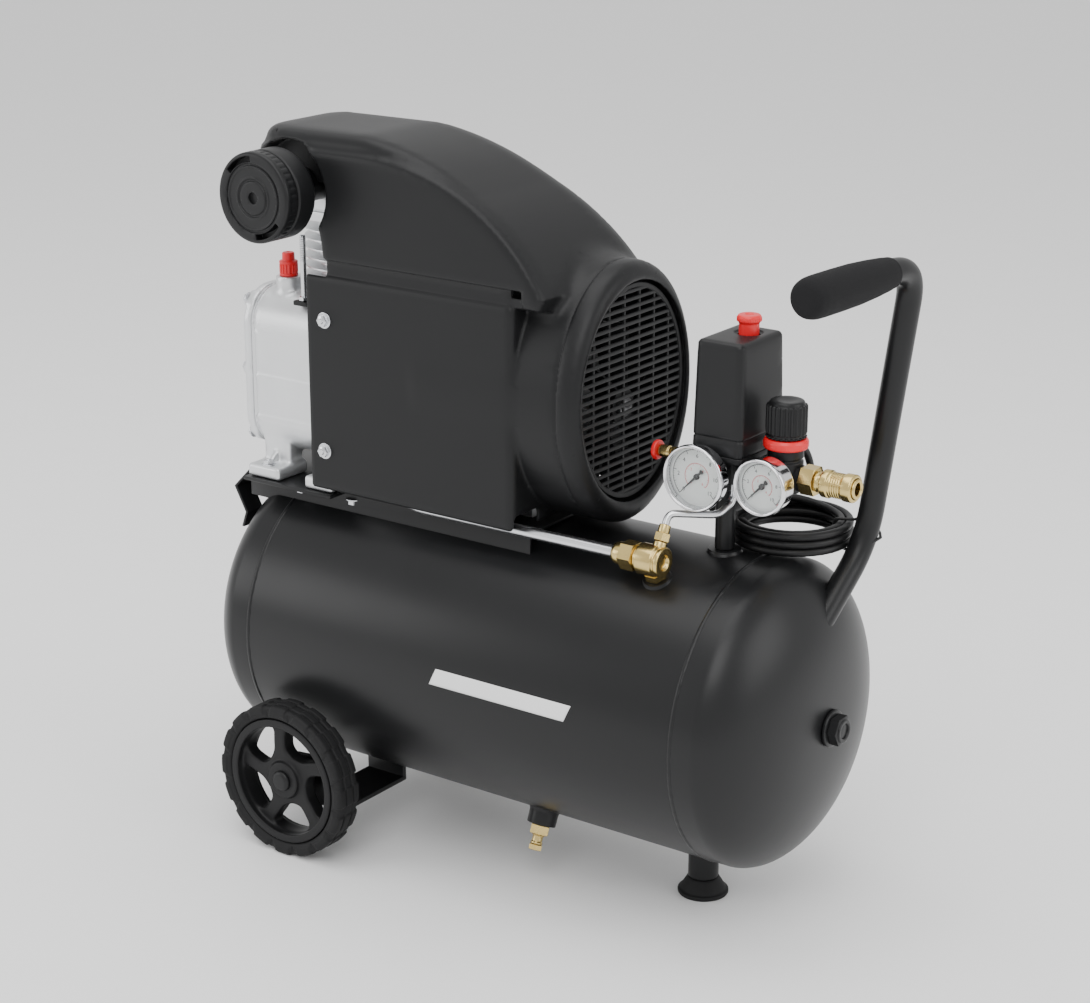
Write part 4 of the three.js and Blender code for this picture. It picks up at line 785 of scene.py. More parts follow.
def make_drain():
    low, high = box_mm("drain_valve_body")
    x = (low[0] + high[0]) / 2
    tilt = radians(155)
    out = Vector((0, -sin(tilt), cos(tilt)))
    bm = bmesh.new()
    turned(bm, rounded([(13.6, TANK_R - 1), (12.2, TANK_R + 1.8), (12, TANK_R + 12.9), (0, TANK_R + 12.9)],
                       [0, 1, 1, 0]), (x, 0, TANK_Z), sides=56, direction=out)
    finish_mesh("drain_boss", bm, "tank_paint")
    bm = bmesh.new()
    start = TANK_R + 13.3
    nut(bm, 8.5, start, start + 8, (x, 0, TANK_Z), direction=out)
    turned(bm, rounded([(0, start + 7), (5.6, start + 8.4), (4.4, start + 9.6), (4.4, start + 13.8),
                        (5, start + 14.4),
                        (5, start + 16), (0, start + 16)], 0.5), (x, 0, TANK_Z), sides=40, direction=out)
    finish_mesh("drain_body", bm, "brass", replaces=("drain_valve_body",))
    bm = bmesh.new()
    nut(bm, 6, start + 16.3, start + 21.2, (x, 0, TANK_Z), direction=out)
    turned(bm, rounded([(0, start + 19), (3.2, start + 19), (3.2, start + 21.2), (0, start + 21.2)], 0.4),
           (x, 0, TANK_Z),
           sides=24, direction=out)
    finish_mesh("drain_screw_head", bm, "brass", "drain_screw", ("drain_screw",))


make_drain()


# ---------------------------------------------------------------- pump
CASE_LEFT = box_mm("crankcase")[0][0]
CASE_RIGHT = PUMP_X + 38
CASE_LOW, CASE_TOP = DECK + 20, box_mm("cylinder")[0][2] - 0.3
COVER_LEFT = box_mm("crankcase_cover")[0][0]


def case_plan(f, grow=0.0):
    """The crankcase's rounded outline seen along the shaft."""
    middle = (CASE_LOW + CASE_TOP) / 2
    qy = abs(f.y) - 66 - grow + 32
    qz = abs(f.z - middle) - (CASE_TOP - CASE_LOW) / 2 - grow + 32
    return np.sqrt(np.maximum(qy, 0) ** 2 + np.maximum(qz, 0) ** 2) + np.minimum(np.maximum(qy, qz), 0) - 32


def make_crankcase():
    f = Field((CASE_LEFT - 2, -80, DECK - 1), (PUMP_X + 78, 80, CASE_TOP + 13), 1.05)
    shell = blend_cut(case_plan(f), np.maximum(CASE_LEFT - f.x, f.x - CASE_RIGHT), 2.5)
    adapter = f.rod("x", 0, SHAFT_Z, 65, CASE_RIGHT - 4, PUMP_X + 75.4)
    adapter = blend_cut(adapter, -f.rod("x", 0, SHAFT_Z, 52, CASE_RIGHT + 0.5, 1e4), 1.5)
    solid = blend_union(shell, adapter, 5)
    for level in (CASE_LOW + 30, CASE_LOW + 66, CASE_TOP - 36):
        line = f.box(CASE_LEFT + 3, CASE_RIGHT - 2, -67, 67, level - 1.1, level + 1.1, r=1.0)
        solid = blend_union(solid, np.maximum(line, case_plan(f, 0.9)), 1.8)
    seam = np.maximum(abs(f.x - CASE_LEFT - 3.2) - 1.0, -case_plan(f, -1.6))
    solid = blend_cut(solid, -seam, 1.0)
    neck = f.rod("z", PUMP_X - 40, -40, 11, CASE_TOP - 16, CASE_TOP + 10)
    solid = blend_union(solid, neck, 4)
    for x0, x1 in ((PUMP_X - 60, PUMP_X - 25), (PUMP_X + 3, PUMP_X + 33)):
        for side in (-1, 1):
            y0, y1 = sorted((side * 40, side * 78))
            pad = f.box(x0, x1, y0, y1, DECK + 0.3, DECK + 11, r=2.5)
            y0, y1 = sorted((side * 42, side * 60))
            leg = f.box(x0 + 3, x1 - 3, y0, y1, DECK + 0.3, SHAFT_Z - 45, r=3)
            rib = f.box((x0 + x1) / 2 - 2.5, (x0 + x1) / 2 + 2.5, *sorted((side * 58, side * 72)), DECK + 4,
                        DECK + 26, r=2)
            lean = (abs(f.y) - 58) * 0.8 + (f.z - DECK - 10) - 13
            solid = blend_union(solid, pad, 4)
            solid = blend_union(solid, leg, 4)
            solid = blend_union(solid, np.maximum(rib, lean), 2)
    cavity = f.rod("x", 0, SHAFT_Z, 50, -1e4, CASE_RIGHT - 12)
    sump = f.box(CASE_LEFT - 20, CASE_RIGHT - 12, -40, 40, CASE_LOW + 12, SHAFT_Z, r=4)
    mouth = f.rod("z", PUMP_X, 0, 25.5, SHAFT_Z, 1e4)
    bearing = f.rod("x", 0, SHAFT_Z, 8.4)
    filler = f.rod("z", PUMP_X - 40, -40, 4.4, CASE_TOP - 3, 1e4)
    for hole in (cavity, sump, mouth, bearing, filler):
        solid = blend_cut(solid, -hole, 0.8)
    bm = bmesh.new()
    f.mesh(bm, solid, 0.12)
    finish_mesh("crankcase_casting", bm, "cast_aluminium", replaces=("crankcase",),
                smooth_angle=50)
    bm = bmesh.new()
    for x in (PUMP_X - 42.5, PUMP_X + 18):
        for side in (-1, 1):
            bolt(bm, (x, side * 70.5, DECK + 11), "z", 4.6, 4.2)
    finish_mesh("foot_bolts", bm, "zinc_steel")
    bm = bmesh.new()
    for x, y in ((PUMP_X - 17, -57), (PUMP_X + 40, -57), (PUMP_X - 17, 57), (PUMP_X + 40, 57)):
        nut(bm, 5.2, DECK - 12.6, DECK - 8.2, (x, y, 0))
        turned(bm, rounded([(0, DECK - 8.4), (7.2, DECK - 8.2), (7.2, DECK - 7), (0, DECK - 7)], 0.3),
               (x, y, 0), "z", 36)
        turned(bm, [(0, DECK - 15), (2.9, DECK - 15), (2.9, DECK - 3.2), (0, DECK - 3.2)], (x, y, 0), "z", 24)
    finish_mesh("plate_nuts", bm, "zinc_steel")


def make_cover():
    right = CASE_LEFT - 0.3
    f = Field((COVER_LEFT - 2, -68, CASE_LOW - 3), (right + 2, 68, CASE_TOP + 3), 0.9)
    middle = (CASE_LOW + CASE_TOP) / 2
    solid = blend_cut(case_plan(f), np.maximum(right - 8 - f.x, f.x - right), 2.2)
    r = np.sqrt(f.y ** 2 + (f.z - middle) ** 2)
    dome = np.maximum(r - 52 - (f.x - right + 8) * 0.15, COVER_LEFT - f.x)
    dome = blend_cut(np.maximum(dome, f.x - right + 2), r - 40 - (f.x - COVER_LEFT) * 1.4, 5)
    solid = blend_union(solid, dome, 4)
    for k in range(6):
        a = 2 * pi * k / 6
        u = (f.y * cos(a) + (f.z - middle) * sin(a))
        v = (-f.y * sin(a) + (f.z - middle) * cos(a))
        rib = np.maximum(np.maximum(abs(v) - 1.8, abs(u - 45) - 14), COVER_LEFT + 6 - f.x + (u - 38) * 0.2)
        solid = blend_union(solid, np.maximum(rib, f.x - right + 4), 2)
    for y, z in ((-56, CASE_LOW + 12), (56, CASE_LOW + 12), (-56, CASE_TOP - 12), (56, CASE_TOP - 12),
                 (-60, middle),
                 (60, middle)):
        boss = f.rod("x", y * 0.97, z, 7.2, right - 10.5, right - 1)
        solid = blend_union(solid, np.maximum(boss, case_plan(f)), 2.5)
    recess = f.rod("x", 0, middle, 38, COVER_LEFT + 5, 1e4)
    solid = blend_cut(solid, -recess, 1)
    bm = bmesh.new()
    f.mesh(bm, solid, 0.1)
    finish_mesh("cover_casting", bm, "cast_aluminium", replaces=("crankcase_cover",),
                smooth_angle=50)
    bm = bmesh.new()
    for y, z in ((-54, CASE_LOW + 12), (54, CASE_LOW + 12), (-54, CASE_TOP - 12), (54, CASE_TOP - 12),
                 (-58, middle),
                 (58, middle)):
        bolt(bm, (right - 10.3, y, z), "x", 4.2, 4.4, out=-1)
    finish_mesh("cover_screws", bm, "zinc_steel")
    low, high = box_mm("oil_sight_glass")
    y, z = 0, (low[2] + high[2]) / 2
    bm = bmesh.new()
    turned(bm, rounded([(8.6, high[0]), (12.9, high[0]), (12.9, low[0] + 1), (11.6, low[0]), (9.6, low[0]),
                        (8.6, low[0] + 1.4)], 0.5), (0, y, z), "x", 64, closed=True)
    finish_mesh("sight_glass_rim", bm, "black_plastic", replaces=("oil_sight_glass",))
    bm = bmesh.new()
    turned(bm, [(0, high[0] - 0.4), (8.5, high[0] - 0.4), (8.5, low[0] + 1.6), (5, low[0] + 1.1),
                (0, low[0] + 1.0)],
           (0, y, z), "x", 48)
    finish_mesh("sight_glass_window", bm, "oil_glass")


def make_filler_plug():
    x, y = PUMP_X - 40, -40
    low, high = box_mm("oil_filler_plug")
    seat = CASE_TOP + 10
    bm = bmesh.new()
    turned(bm, rounded([(0, low[2]), (3.9, low[2]), (3.9, seat + 0.3), (7.9, seat + 0.3), (7.9, seat + 2.2),
                        (7.0, seat + 3),
                        (7.0, seat + 10), (7.9, seat + 10.8), (7.9, seat + 12.6), (5.4, seat + 13.4),
                        (5.2, high[2] - 0.6),
                        (4.2, high[2]), (1.4, high[2]), (1.2, high[2] - 2.5), (0, high[2] - 2.5)], 0.5),
           (x, y, 0), "z", 56)
    for k in range(16):
        a = 2 * pi * k / 16
        turned(bm, rounded([(0, seat + 2.6), (0.8, seat + 2.8), (0.8, seat + 10.2), (0, seat + 10.4)], 0.3),
               (x + 7.05 * cos(a), y + 7.05 * sin(a), 0), "z", 10)
    finish_mesh("filler_plug", bm, "red_plastic", "oil_filler_plug", ("oil_filler_plug",))


def make_cylinder():
    low, high = box_mm("cylinder")
    bottom, top = low[2], high[2]
    profile = [(23.6, bottom), (34, bottom), (34, bottom + 5), (31, bottom + 6.5)]
    for k in range(6):
        z = bottom + 9.5 + k * 8
        profile += [(31, z), (42.6, z + 0.9), (42.6, z + 2.3), (31, z + 3.2)]
    profile += [(31, top), (23.6, top)]
    bm = bmesh.new()
    turned(bm, rounded(profile, 0.5, 2), (PUMP_X, 0, 0), "z", 96, closed=True)
    finish_mesh("finned_cylinder", bm, "cast_aluminium", replaces=("cylinder",))
    bm = bmesh.new()
    block_top = HEAD_Z + 43 * 0.55
    prism(bm, rectangle(PUMP_X - 44, PUMP_X + 44, -44, 44, 8), HEAD_Z + 0.1, HEAD_Z + 9, bevel=1.2)
    prism(bm, rectangle(PUMP_X - 44, PUMP_X + 44, -44, 44, 8), HEAD_Z + 10.4, block_top, bevel=1.2)
    prism(bm, rectangle(PUMP_X - 42, PUMP_X + 42, -42, 42, 7), HEAD_Z + 8, HEAD_Z + 11.4)
    for k in range(8):
        x = PUMP_X - 40 + k * 76 / 7
        prism(bm, rectangle(x - 0.2, x + 3.4, -42, 42, 1.5), block_top - 1, HEAD_Z + 42.9, bevel=0.8)
    finish_mesh("finned_head", bm, "cast_aluminium", replaces=("cylinder_head",))
    bm = bmesh.new()
    for x in (-37, 37):
        for y in (-37, 37):
            bolt(bm, (PUMP_X + x, y, block_top - 0.3), "z", 5, 5)
    finish_mesh("head_bolts", bm, "zinc_steel")
    bm = bmesh.new()
    prism(bm, rectangle(PUMP_X - 6 - 8, PUMP_X - 6 + 8, -66, -52, 2), CASE_TOP - 7, CASE_TOP - 3.4, bevel=0.6)
    finish_mesh("stud_bracket", bm, "black_plastic")
    bm = bmesh.new()
    stud = (PUMP_X - 6, -60, 0)
    turned(bm, rounded([(0, CASE_TOP - 4), (2.5, CASE_TOP - 4), (2.5, HEAD_Z - 9), (2.0, HEAD_Z - 8),
                        (0, HEAD_Z - 8)], 0.3),
           stud, "z", 28)
    nut(bm, 4.6, CASE_TOP - 3.3, CASE_TOP + 0.4, stud)
    for k in range(14):
        z = HEAD_Z - 30 + k * 1.5
        turned(bm, [(2.3, z), (2.72, z + 0.5), (2.3, z + 1.0)], stud, "z", 28)
    finish_mesh("cylinder_stud", bm, "zinc_steel")


make_crankcase()
make_cover()
make_filler_plug()
make_cylinder()


# ---------------------------------------------------------------- air filter
def make_filter():
    low, high = box_mm("air_filter_body")
    radius = (high[0] - low[0]) / 2
    cap_low, cap_high = box_mm("air_filter_cap")
    bm = bmesh.new()
    turned(bm, rounded([(0, low[1]), (radius - 2, low[1]), (radius - 0.2, low[1] + 1.4),
                        (radius - 0.2, low[1] + 18),
                        (radius - 2.2, low[1] + 19), (radius - 2.2, low[1] + 21), (radius - 6, low[1] + 25.6),
                        (13, low[1] + 25.7),
                        (13, high[1]), (0, high[1])], [0, 1, 1, 1, 1, 1, 2, 2, 0, 0]), (PUMP_X, 0, FILTER_Z),
           "y", 96)
    finish_mesh("filter_bowl", bm, "black_plastic", replaces=("air_filter_body",))
    front, back = cap_low[1], cap_high[1]
    f = Field((PUMP_X - 39, front - 1.5, FILTER_Z - 39), (PUMP_X + 39, back + 1.5, FILTER_Z + 39), 0.55)
    r = np.sqrt((f.x - PUMP_X) ** 2 + (f.z - FILTER_Z) ** 2)
    angle = np.arctan2(f.z - FILTER_Z, f.x - PUMP_X)
    solid = blend_cut(r - radius + 0.2, np.maximum(front - f.y, f.y - back), 3.2)
    face = f.y - front
    groove = np.maximum(abs(r - 27) - 0.9, face - 1.3)
    groove = np.minimum(groove, np.maximum(abs(r - 14.5) - 0.9, face - 1.2))
    groove = np.minimum(groove, np.maximum(r - 4.6, face - 3.2))
    dish = np.maximum(abs(r - 20.8) - 3.6, face - 0.7)
    for a in (radians(118), radians(-62)):
        turn = np.arctan2(np.sin(angle - a), np.cos(angle - a))
        slot = np.maximum(np.maximum(abs(turn) * 30 - 13, abs(r - 31.2) - 2.2), face - 8)
        groove = np.minimum(groove, slot)
    solid = blend_cut(solid, -np.minimum(groove, dish), 0.8)
    for k in range(40):
        a = 2 * pi * k / 40
        notch_x, notch_z = PUMP_X + (radius + 0.5) * cos(a), FILTER_Z + (radius + 0.5) * sin(a)
        notch = np.sqrt((f.x - notch_x) ** 2 + (f.z - notch_z) ** 2) - 1.3
        solid = blend_cut(solid, -np.maximum(notch, 5.5 - face), 0.5)
    bm = bmesh.new()
    f.mesh(bm, solid, 0.05)
    finish_mesh("filter_cap", bm, "black_plastic", "air_filter_cap", ("air_filter_cap",), 50)


make_filter()


# ---------------------------------------------------------------- shroud
SHROUD_LEFT, SHROUD_RIGHT = SHROUD[0][0], SHROUD[1][0]
PANEL_LEFT, PANEL_RIGHT = -170.0, 38.0
PANEL_LOW, PANEL_TOP = DECK + 5, DECK + 186
HOOD_X, HOOD_Z = -115.0, DECK + 138


def hood_outline(raised):
    top = HOOD_Z + 152 + raised
    points = [(-152, PANEL_TOP), (-155, PANEL_TOP + 26), (-160, PANEL_TOP + 54), (-175, PANEL_TOP + 59),
              (SHROUD_LEFT, PANEL_TOP + 60),
              (SHROUD_LEFT, top - 14), (SHROUD_LEFT + 4, top - 7), (SHROUD_LEFT + 12, top - 3),
              (SHROUD_LEFT + 30, top - 0.6)]
    for k in range(31):
        t = pi / 2 - 1.18 * k / 30
        fade = max(0.0, 1 - 2 * k / 30)
        points.append((HOOD_X + 195 * cos(t), HOOD_Z + 152 * sin(t) + raised * fade))
    return points + [(62, PANEL_TOP)]


def plan_field(f, inset):
    """The hood's outline seen from above, with round corners at its left end."""
    half, corner = 85 - inset, 46 - inset
    qx = SHROUD_LEFT + inset + corner - f.x
    qy = abs(f.y) - half + corner
    return np.sqrt(np.maximum(qx, 0) ** 2 + np.maximum(qy, 0) ** 2) + np.minimum(np.maximum(qx, qy),
                                                                                 0) - corner


def make_shroud():
    f = Field((SHROUD_LEFT - 3, -89, DECK), (SHROUD_RIGHT + 3, 89, SHROUD[1][2] + 3), 1.25)
    far = (f.y - 75 + 0.3 * (f.z - 490)) / 1.044
    hood = blend_cut(f.outline(hood_outline(0)), plan_field(f, 0), 7)
    cap = blend_cut(f.outline(hood_outline(13)), plan_field(f, 5), 14)
    hood = blend_cut(blend_union(hood, cap, 3), far, 30)
    panel = f.box(PANEL_LEFT - 20, PANEL_RIGHT, -85, 85, PANEL_LOW, PANEL_TOP + 2, r=5)
    panel = np.maximum(panel, PANEL_LEFT - f.x)
    a, b = 85.0, 106.0
    k0 = np.sqrt((f.y / a) ** 2 + ((f.z - BARREL_Z) / b) ** 2) + 1e-4
    k1 = np.sqrt((f.y / a ** 2) ** 2 + ((f.z - BARREL_Z) / b ** 2) ** 2) + 1e-6
    oval = k0 * (k0 - 1) / k1
    barrel = blend_cut(oval, f.x - SHROUD_RIGHT, 15)
    barrel = np.maximum(barrel, -61.5 - f.x)
    outer = np.minimum(blend_union(hood, barrel, 12), blend_union(panel, barrel, 2.5))
    outer = np.minimum(outer, blend_union(hood, panel, 1.5))
    shell = blend_cut(outer, -(outer + 3.5), 0.6)
    pocket = f.rod("y", PUMP_X, FILTER_Z, 44.5, -90, -59)
    shell = blend_union(shell, blend_cut(pocket, outer, 2), 1.5)
    shell = blend_cut(shell, -f.rod("y", PUMP_X, FILTER_Z, 41, -99, -62.5), 2.2)
    shell = blend_cut(shell, -f.rod("y", PUMP_X, FILTER_Z, 15, -70, -50), 0.8)
    under = np.maximum(f.box(PANEL_LEFT - 12, PANEL_RIGHT - 3.5, -81.5, 81.5, DECK, PANEL_TOP + 23, r=3),
                       far + 3.5)
    under = np.minimum(under, f.box(PANEL_LEFT - 12, PANEL_RIGHT - 3.5, -81.5, 81.5, DECK - 30,
                                    PANEL_TOP - 1.5, r=3))
    under = np.minimum(under, np.maximum(np.maximum(plan_field(f, 3.5), far + 3.5),
                                         np.maximum(f.x + 150, abs(f.z - PANEL_TOP - 36) - 36)))
    notch = f.box(PANEL_RIGHT - 10, PANEL_RIGHT + 5, -81.5, -50, DECK - 20, DECK + 18, r=3)
    mouth_k = np.sqrt((f.y / 74.5) ** 2 + ((f.z - BARREL_Z - 2) / 88.5) ** 2)
    mouth = np.maximum((mouth_k - 1) * 74, SHROUD_RIGHT - 13 - f.x)
    shell = blend_cut(shell, -np.minimum(under, notch), 1.0)
    shell = blend_cut(shell, -mouth, 3.0)
    shell = np.minimum(shell, f.box(-150, PANEL_RIGHT - 3, -84, -78, PANEL_TOP - 2, PANEL_TOP + 19, r=1))
    groove = np.maximum(np.maximum(PANEL_LEFT - 5 - f.x, f.x - PANEL_RIGHT - 8),
                        abs(f.z - PANEL_TOP - 8.5) - 6.5)
    groove = np.maximum(groove, 82.5 - abs(f.y))
    shell = blend_cut(shell, -groove, 1.8)
    step = np.maximum(abs(f.x - SHROUD_RIGHT + 20) - 0.7, -(oval + 1.1))
    shell = blend_cut(shell, -step, 0.8)
    bm = bmesh.new()
    f.mesh(bm, shell, 0.1)
    finish_mesh("shroud_moulding", bm, "shroud_plastic", replaces=("shroud",),
                smooth_angle=55)
    bm = bmesh.new()
    for x, z in ((-151, DECK + 151), (-154, DECK + 40)):
        bolt(bm, (x, -85.1, z), "y", 5, 4.6, out=-1)
        bolt(bm, (x, 85.1, z), "y", 5, 4.6, out=1)
    finish_mesh("shroud_screws", bm, "zinc_steel")


def make_grille():
    low, high = box_mm("fan_grille")
    front, back = high[0], low[0]
    half_y, half_z, middle = 73, 87, (low[2] + high[2]) / 2
    bm = bmesh.new()
    sides = 128
    section = [(0, back), (0, front - 0.8), (-0.8, front), (-3.6, front), (-4.6, front - 1), (-4.6, back)]
    loops = []
    for k in range(sides):
        a = 2 * pi * k / sides
        loops.append([bm.verts.new(at(x, (half_y + d) * cos(a), middle + (half_z + d) * sin(a))) for d,
                      x in section])
    for k in range(sides):
        a, b = loops[k], loops[(k + 1) % sides]
        for j in range(len(section)):
            n = (j + 1) % len(section)
            bm.faces.new([a[j], a[n], b[n], b[j]])
    rows = 27
    for k in range(1, rows):
        z = middle - half_z + 2 * half_z * k / rows
        reach = (half_y - 3.2) * sqrt(max(0.0, 1 - ((z - middle) / (half_z - 2)) ** 2))
        if reach > 6:
            prism(bm, rectangle(back + 0.4, front - 0.4, z - 1.6, z + 1.6, 0.9, 3), -reach, reach, "xz")
    for k in range(1, 7):
        y = -half_y + 2 * half_y * k / 7
        reach = (half_z - 3.2) * sqrt(max(0.0, 1 - (y / (half_y - 2)) ** 2))
        prism(bm, rectangle(back + 0.1, front - 0.9, y - 1.2, y + 1.2, 0.7, 3), middle - reach,
              middle + reach)
    finish_mesh("grille_bars", bm, "shroud_plastic", replaces=("fan_grille",))


make_shroud()
make_grille()


# ---------------------------------------------------------------- pipework
def make_check_valve():
    x = sum(p[0] for p in box_mm("check_valve")) / 2
    tilt = radians(26.2)
    out = Vector((0, -sin(tilt), cos(tilt)))
    middle = Vector((x, 0, TANK_Z)) + out * (TANK_R + 20)
    bm = bmesh.new()
    turned(bm, rounded([(13, TANK_R - 2), (11.4, TANK_R + 0.6), (11, TANK_R + 2), (0, TANK_R + 2)],
                       [0, 0.8, 0.4, 0]),
           (x, 0, TANK_Z), sides=48, direction=out)
    finish_mesh("check_boss", bm, "tank_paint")
    bm = bmesh.new()
    nut(bm, 9, TANK_R + 2.3, TANK_R + 9, (x, 0, TANK_Z), direction=out)
    turned(bm, [(7, TANK_R + 8), (7, TANK_R + 18)], (x, 0, TANK_Z), sides=40, direction=out)
    turned(bm, rounded([(0, -12), (9.5, -12), (9.5, -9.6), (12.4, -8.6), (12.4, 5.6), (10.6, 6.6), (10.6, 8),
                        (11.8, 8.6),
                        (11.8, 12), (6.4, 12), (5.6, 9.4), (0, 9.4)], 0.8), tuple(middle), "x", 64)
    lean = radians(53)
    port = (Vector((0, -sin(tilt), cos(tilt))) * cos(lean) + Vector((0, cos(tilt),
                                                                     sin(tilt))) * sin(lean)).normalized()
    start = middle + Vector((4, 0, 0))
    turned(bm, rounded([(0, 8), (5.4, 8), (5.4, 15), (0, 15)], 0.5), tuple(start), sides=36, direction=port)
    nut(bm, 6.4, 15.4, 22.5, tuple(start), direction=port)
    turned(bm, rounded([(0, 22), (4.6, 22), (4.6, 28.8), (0, 28.8)], 0.5), tuple(start), sides=36,
           direction=port)
    finish_mesh("check_valve_body", bm, "brass", replaces=("check_valve",))
    low, high = box_mm("delivery_pipe_nut")
    bm = bmesh.new()
    nut(bm, 12, high[0] - 13, high[0] - 0.1, (0, middle.y, middle.z), "x", ease=1.3)
    turned(bm, rounded([(0, low[0] + 9), (9.6, low[0] + 9), (9, low[0] + 3), (7.4, low[0]), (5.2, low[0]),
                        (5.2, low[0] + 2),
                        (0, low[0] + 2)], [0, 0.6, 1.5, 0.8, 0.3, 0, 0]), (0, middle.y, middle.z), "x", 56)
    finish_mesh("delivery_nut", bm, "brass", replaces=("delivery_pipe_nut",))
    return middle, start, port


def make_pipes(middle, start, port):
    nut_left = box_mm("delivery_pipe_nut")[0][0]
    rise_x, rise_y = PUMP_X + 70, -74.25
    inlet = (PUMP_X + 44.3, -26, HEAD_Z + 12)
    points = [(nut_left + 9, middle.y, middle.z), (-78.5, rise_y + 3, DECK + 3.75),
              (rise_x, rise_y, DECK + 40),
              (rise_x, rise_y, inlet[2]), (rise_x, inlet[1], inlet[2]), inlet]
    bm = bmesh.new()
    swept(bm, bezier_route(points, 17), 4.7, 40)
    finish_mesh("delivery_tube", bm, "pipe_aluminium", replaces=("delivery_pipe",))
    under = CONTROL_Z - 11.3
    corner = RISER_X + 12.5
    p = start + port * 29.3
    q = start + port * 38
    line = [tuple(p), tuple(q), (corner - 3, -26, under - 22), (corner, -9, under - 14), (corner, -8, under)]
    bm = bmesh.new()
    swept(bm, bezier_route(line, 6), 2.9, 32)
    finish_mesh("unloader_tube", bm, "pipe_aluminium", replaces=("unloader_pipe",))


make_pipes(*make_check_valve())


# ---------------------------------------------------------------- pressure switch
def make_switch():
    bm = bmesh.new()
    top = CONTROL_Z - 11.3
    turned(bm, rounded([(0, TANK_TOP + 2.9), (7.9, TANK_TOP + 2.9), (7.9, top), (0, top)], 0.4),
           (RISER_X, 0, 0), "z", 48)
    nut(bm, 9.6, top - 9, top - 0.4, (RISER_X, 0, 0))
    finish_mesh("switch_pipe", bm, "tank_paint", replaces=("switch_riser",))
    bm = bmesh.new()
    turned(bm, rounded([(15.4, TANK_TOP - 1.8), (13.4, TANK_TOP + 0.8), (13, TANK_TOP + 2.4),
                        (0, TANK_TOP + 2.4)],
                       [0, 1, 0.5, 0]), (RISER_X, 0, 0), "z", 56)
    finish_mesh("switch_boss", bm, "tank_paint")
    x, z = RISER_X, CONTROL_Z
    bm = bmesh.new()
    prism(bm, rectangle(x - 17, x + 17, -17, 17, 4), z - 11, z + 11.6, bevel=1.4)
    prism(bm, rectangle(x - 13, x + 32, -33, 33, 4), z + 11, z + 16, bevel=1.0)
    prism(bm, rectangle(x - 4, x + 24, -22, 22, 2), z + 15, z + 64, bevel=1)
    prism(bm, rectangle(x + 6, x + 26, 16, 33, 3), z - 8, z + 12, bevel=1)
    nut(bm, 8.2, -3.4, 0, (x - 17, 0, z), "x")
    nut(bm, 8.2, 0.4, 3.8, (x + 17, 0, z), "x")
    finish_mesh("switch_base", bm, "black_plastic", replaces=("pressure_switch_base",))
    low, high = box_mm("pressure_switch_cover")
    cx, half_x, half_y = (low[0] + high[0]) / 2, (high[0] - low[0]) / 2, (high[1] - low[1]) / 2
    f = Field((low[0] - 2, low[1] - 2, low[2] - 2), (high[0] + 2, high[1] + 2, high[2] + 2), 0.8)
    up = np.clip((f.z - low[2]) / (high[2] - low[2]), 0, 1)
    qx = abs(f.x - cx) - (half_x - 2 * up) + 5
    qy = abs(f.y) - (half_y - 2 * up) + 5
    side = np.sqrt(np.maximum(qx, 0) ** 2 + np.maximum(qy, 0) ** 2) + np.minimum(np.maximum(qx, qy), 0) - 5
    outer = blend_cut(side, f.z - high[2], 5)
    outer = np.maximum(outer, low[2] - f.z)
    skirt = np.maximum(abs(f.z - low[2] - 13) - 0.7, -(side + 0.9))
    outer = blend_cut(outer, -skirt, 0.6)
    knob_x = sum(p[0] for p in box_mm("switch_knob")) / 2
    raised = f.rod("z", knob_x, 9, 12.5, high[2] - 6, high[2] - 0.2)
    dish = np.maximum(np.sqrt((f.x - knob_x) ** 2 + (f.y - 9) ** 2) - 11, high[2] - 1.3 - f.z)
    outer = blend_cut(np.minimum(outer, raised), -dish, 0.8)
    inner = np.maximum(side + 2.5, f.z - high[2] + 2.5)
    solid = blend_cut(outer, -inner, 0.5)
    solid = blend_cut(solid, -f.rod("z", knob_x, 9, 8.6, high[2] - 20, high[2] + 20), 0.5)
    bm = bmesh.new()
    f.mesh(bm, solid, 0.08)
    finish_mesh("switch_cover", bm, "black_plastic", replaces=("pressure_switch_cover",),
                smooth_angle=50)
    bm = bmesh.new()
    low, high = box_mm("switch_knob")
    top = high[2]
    turned(bm, rounded([(0, low[2]), (7.9, low[2]), (7.9, top - 6.6), (8.6, top - 5.6), (9.4, top - 4.6),
                        (9.4, top - 1.6),
                        (8.4, top), (3.4, top), (2.8, top - 0.7), (0, top - 0.7)], 0.8), (knob_x, 9, 0), "z",
           72)
    for k in range(28):
        a = 2 * pi * k / 28
        turned(bm, rounded([(0, top - 5), (0.45, top - 4.8), (0.45, top - 1.9), (0, top - 1.7)], 0.2),
               (knob_x + 9.25 * cos(a), 9 + 9.25 * sin(a), 0), "z", 8)
    finish_mesh("on_off_knob", bm, "red_plastic", "switch_knob", ("switch_knob",))


def make_strain_relief():
    low, high = box_mm("strain_relief")
    x, z = (low[0] + high[0]) / 2, (low[2] + high[2]) / 2
    profile = [(0, low[1]), (7.9, low[1]), (7.9, low[1] + 3.6), (6.4, low[1] + 5.4)]
    for k in range(6):
        y = low[1] + 6.8 + k * 3
        size = 6.0 - k * 0.33
        profile += [(size, y), (size, y + 1.7), (size - 1.0, y + 2.1), (size - 1.0, y + 2.7)]
    profile += [(4.1, high[1] - 0.5), (3.4, high[1]), (0, high[1])]
    bm = bmesh.new()
    turned(bm, rounded(profile, 0.35, 2), (x, 0, z), "y", 40)
    finish_mesh("cord_boot", bm, "cord_pvc", replaces=("strain_relief",))


make_switch()
make_strain_relief()


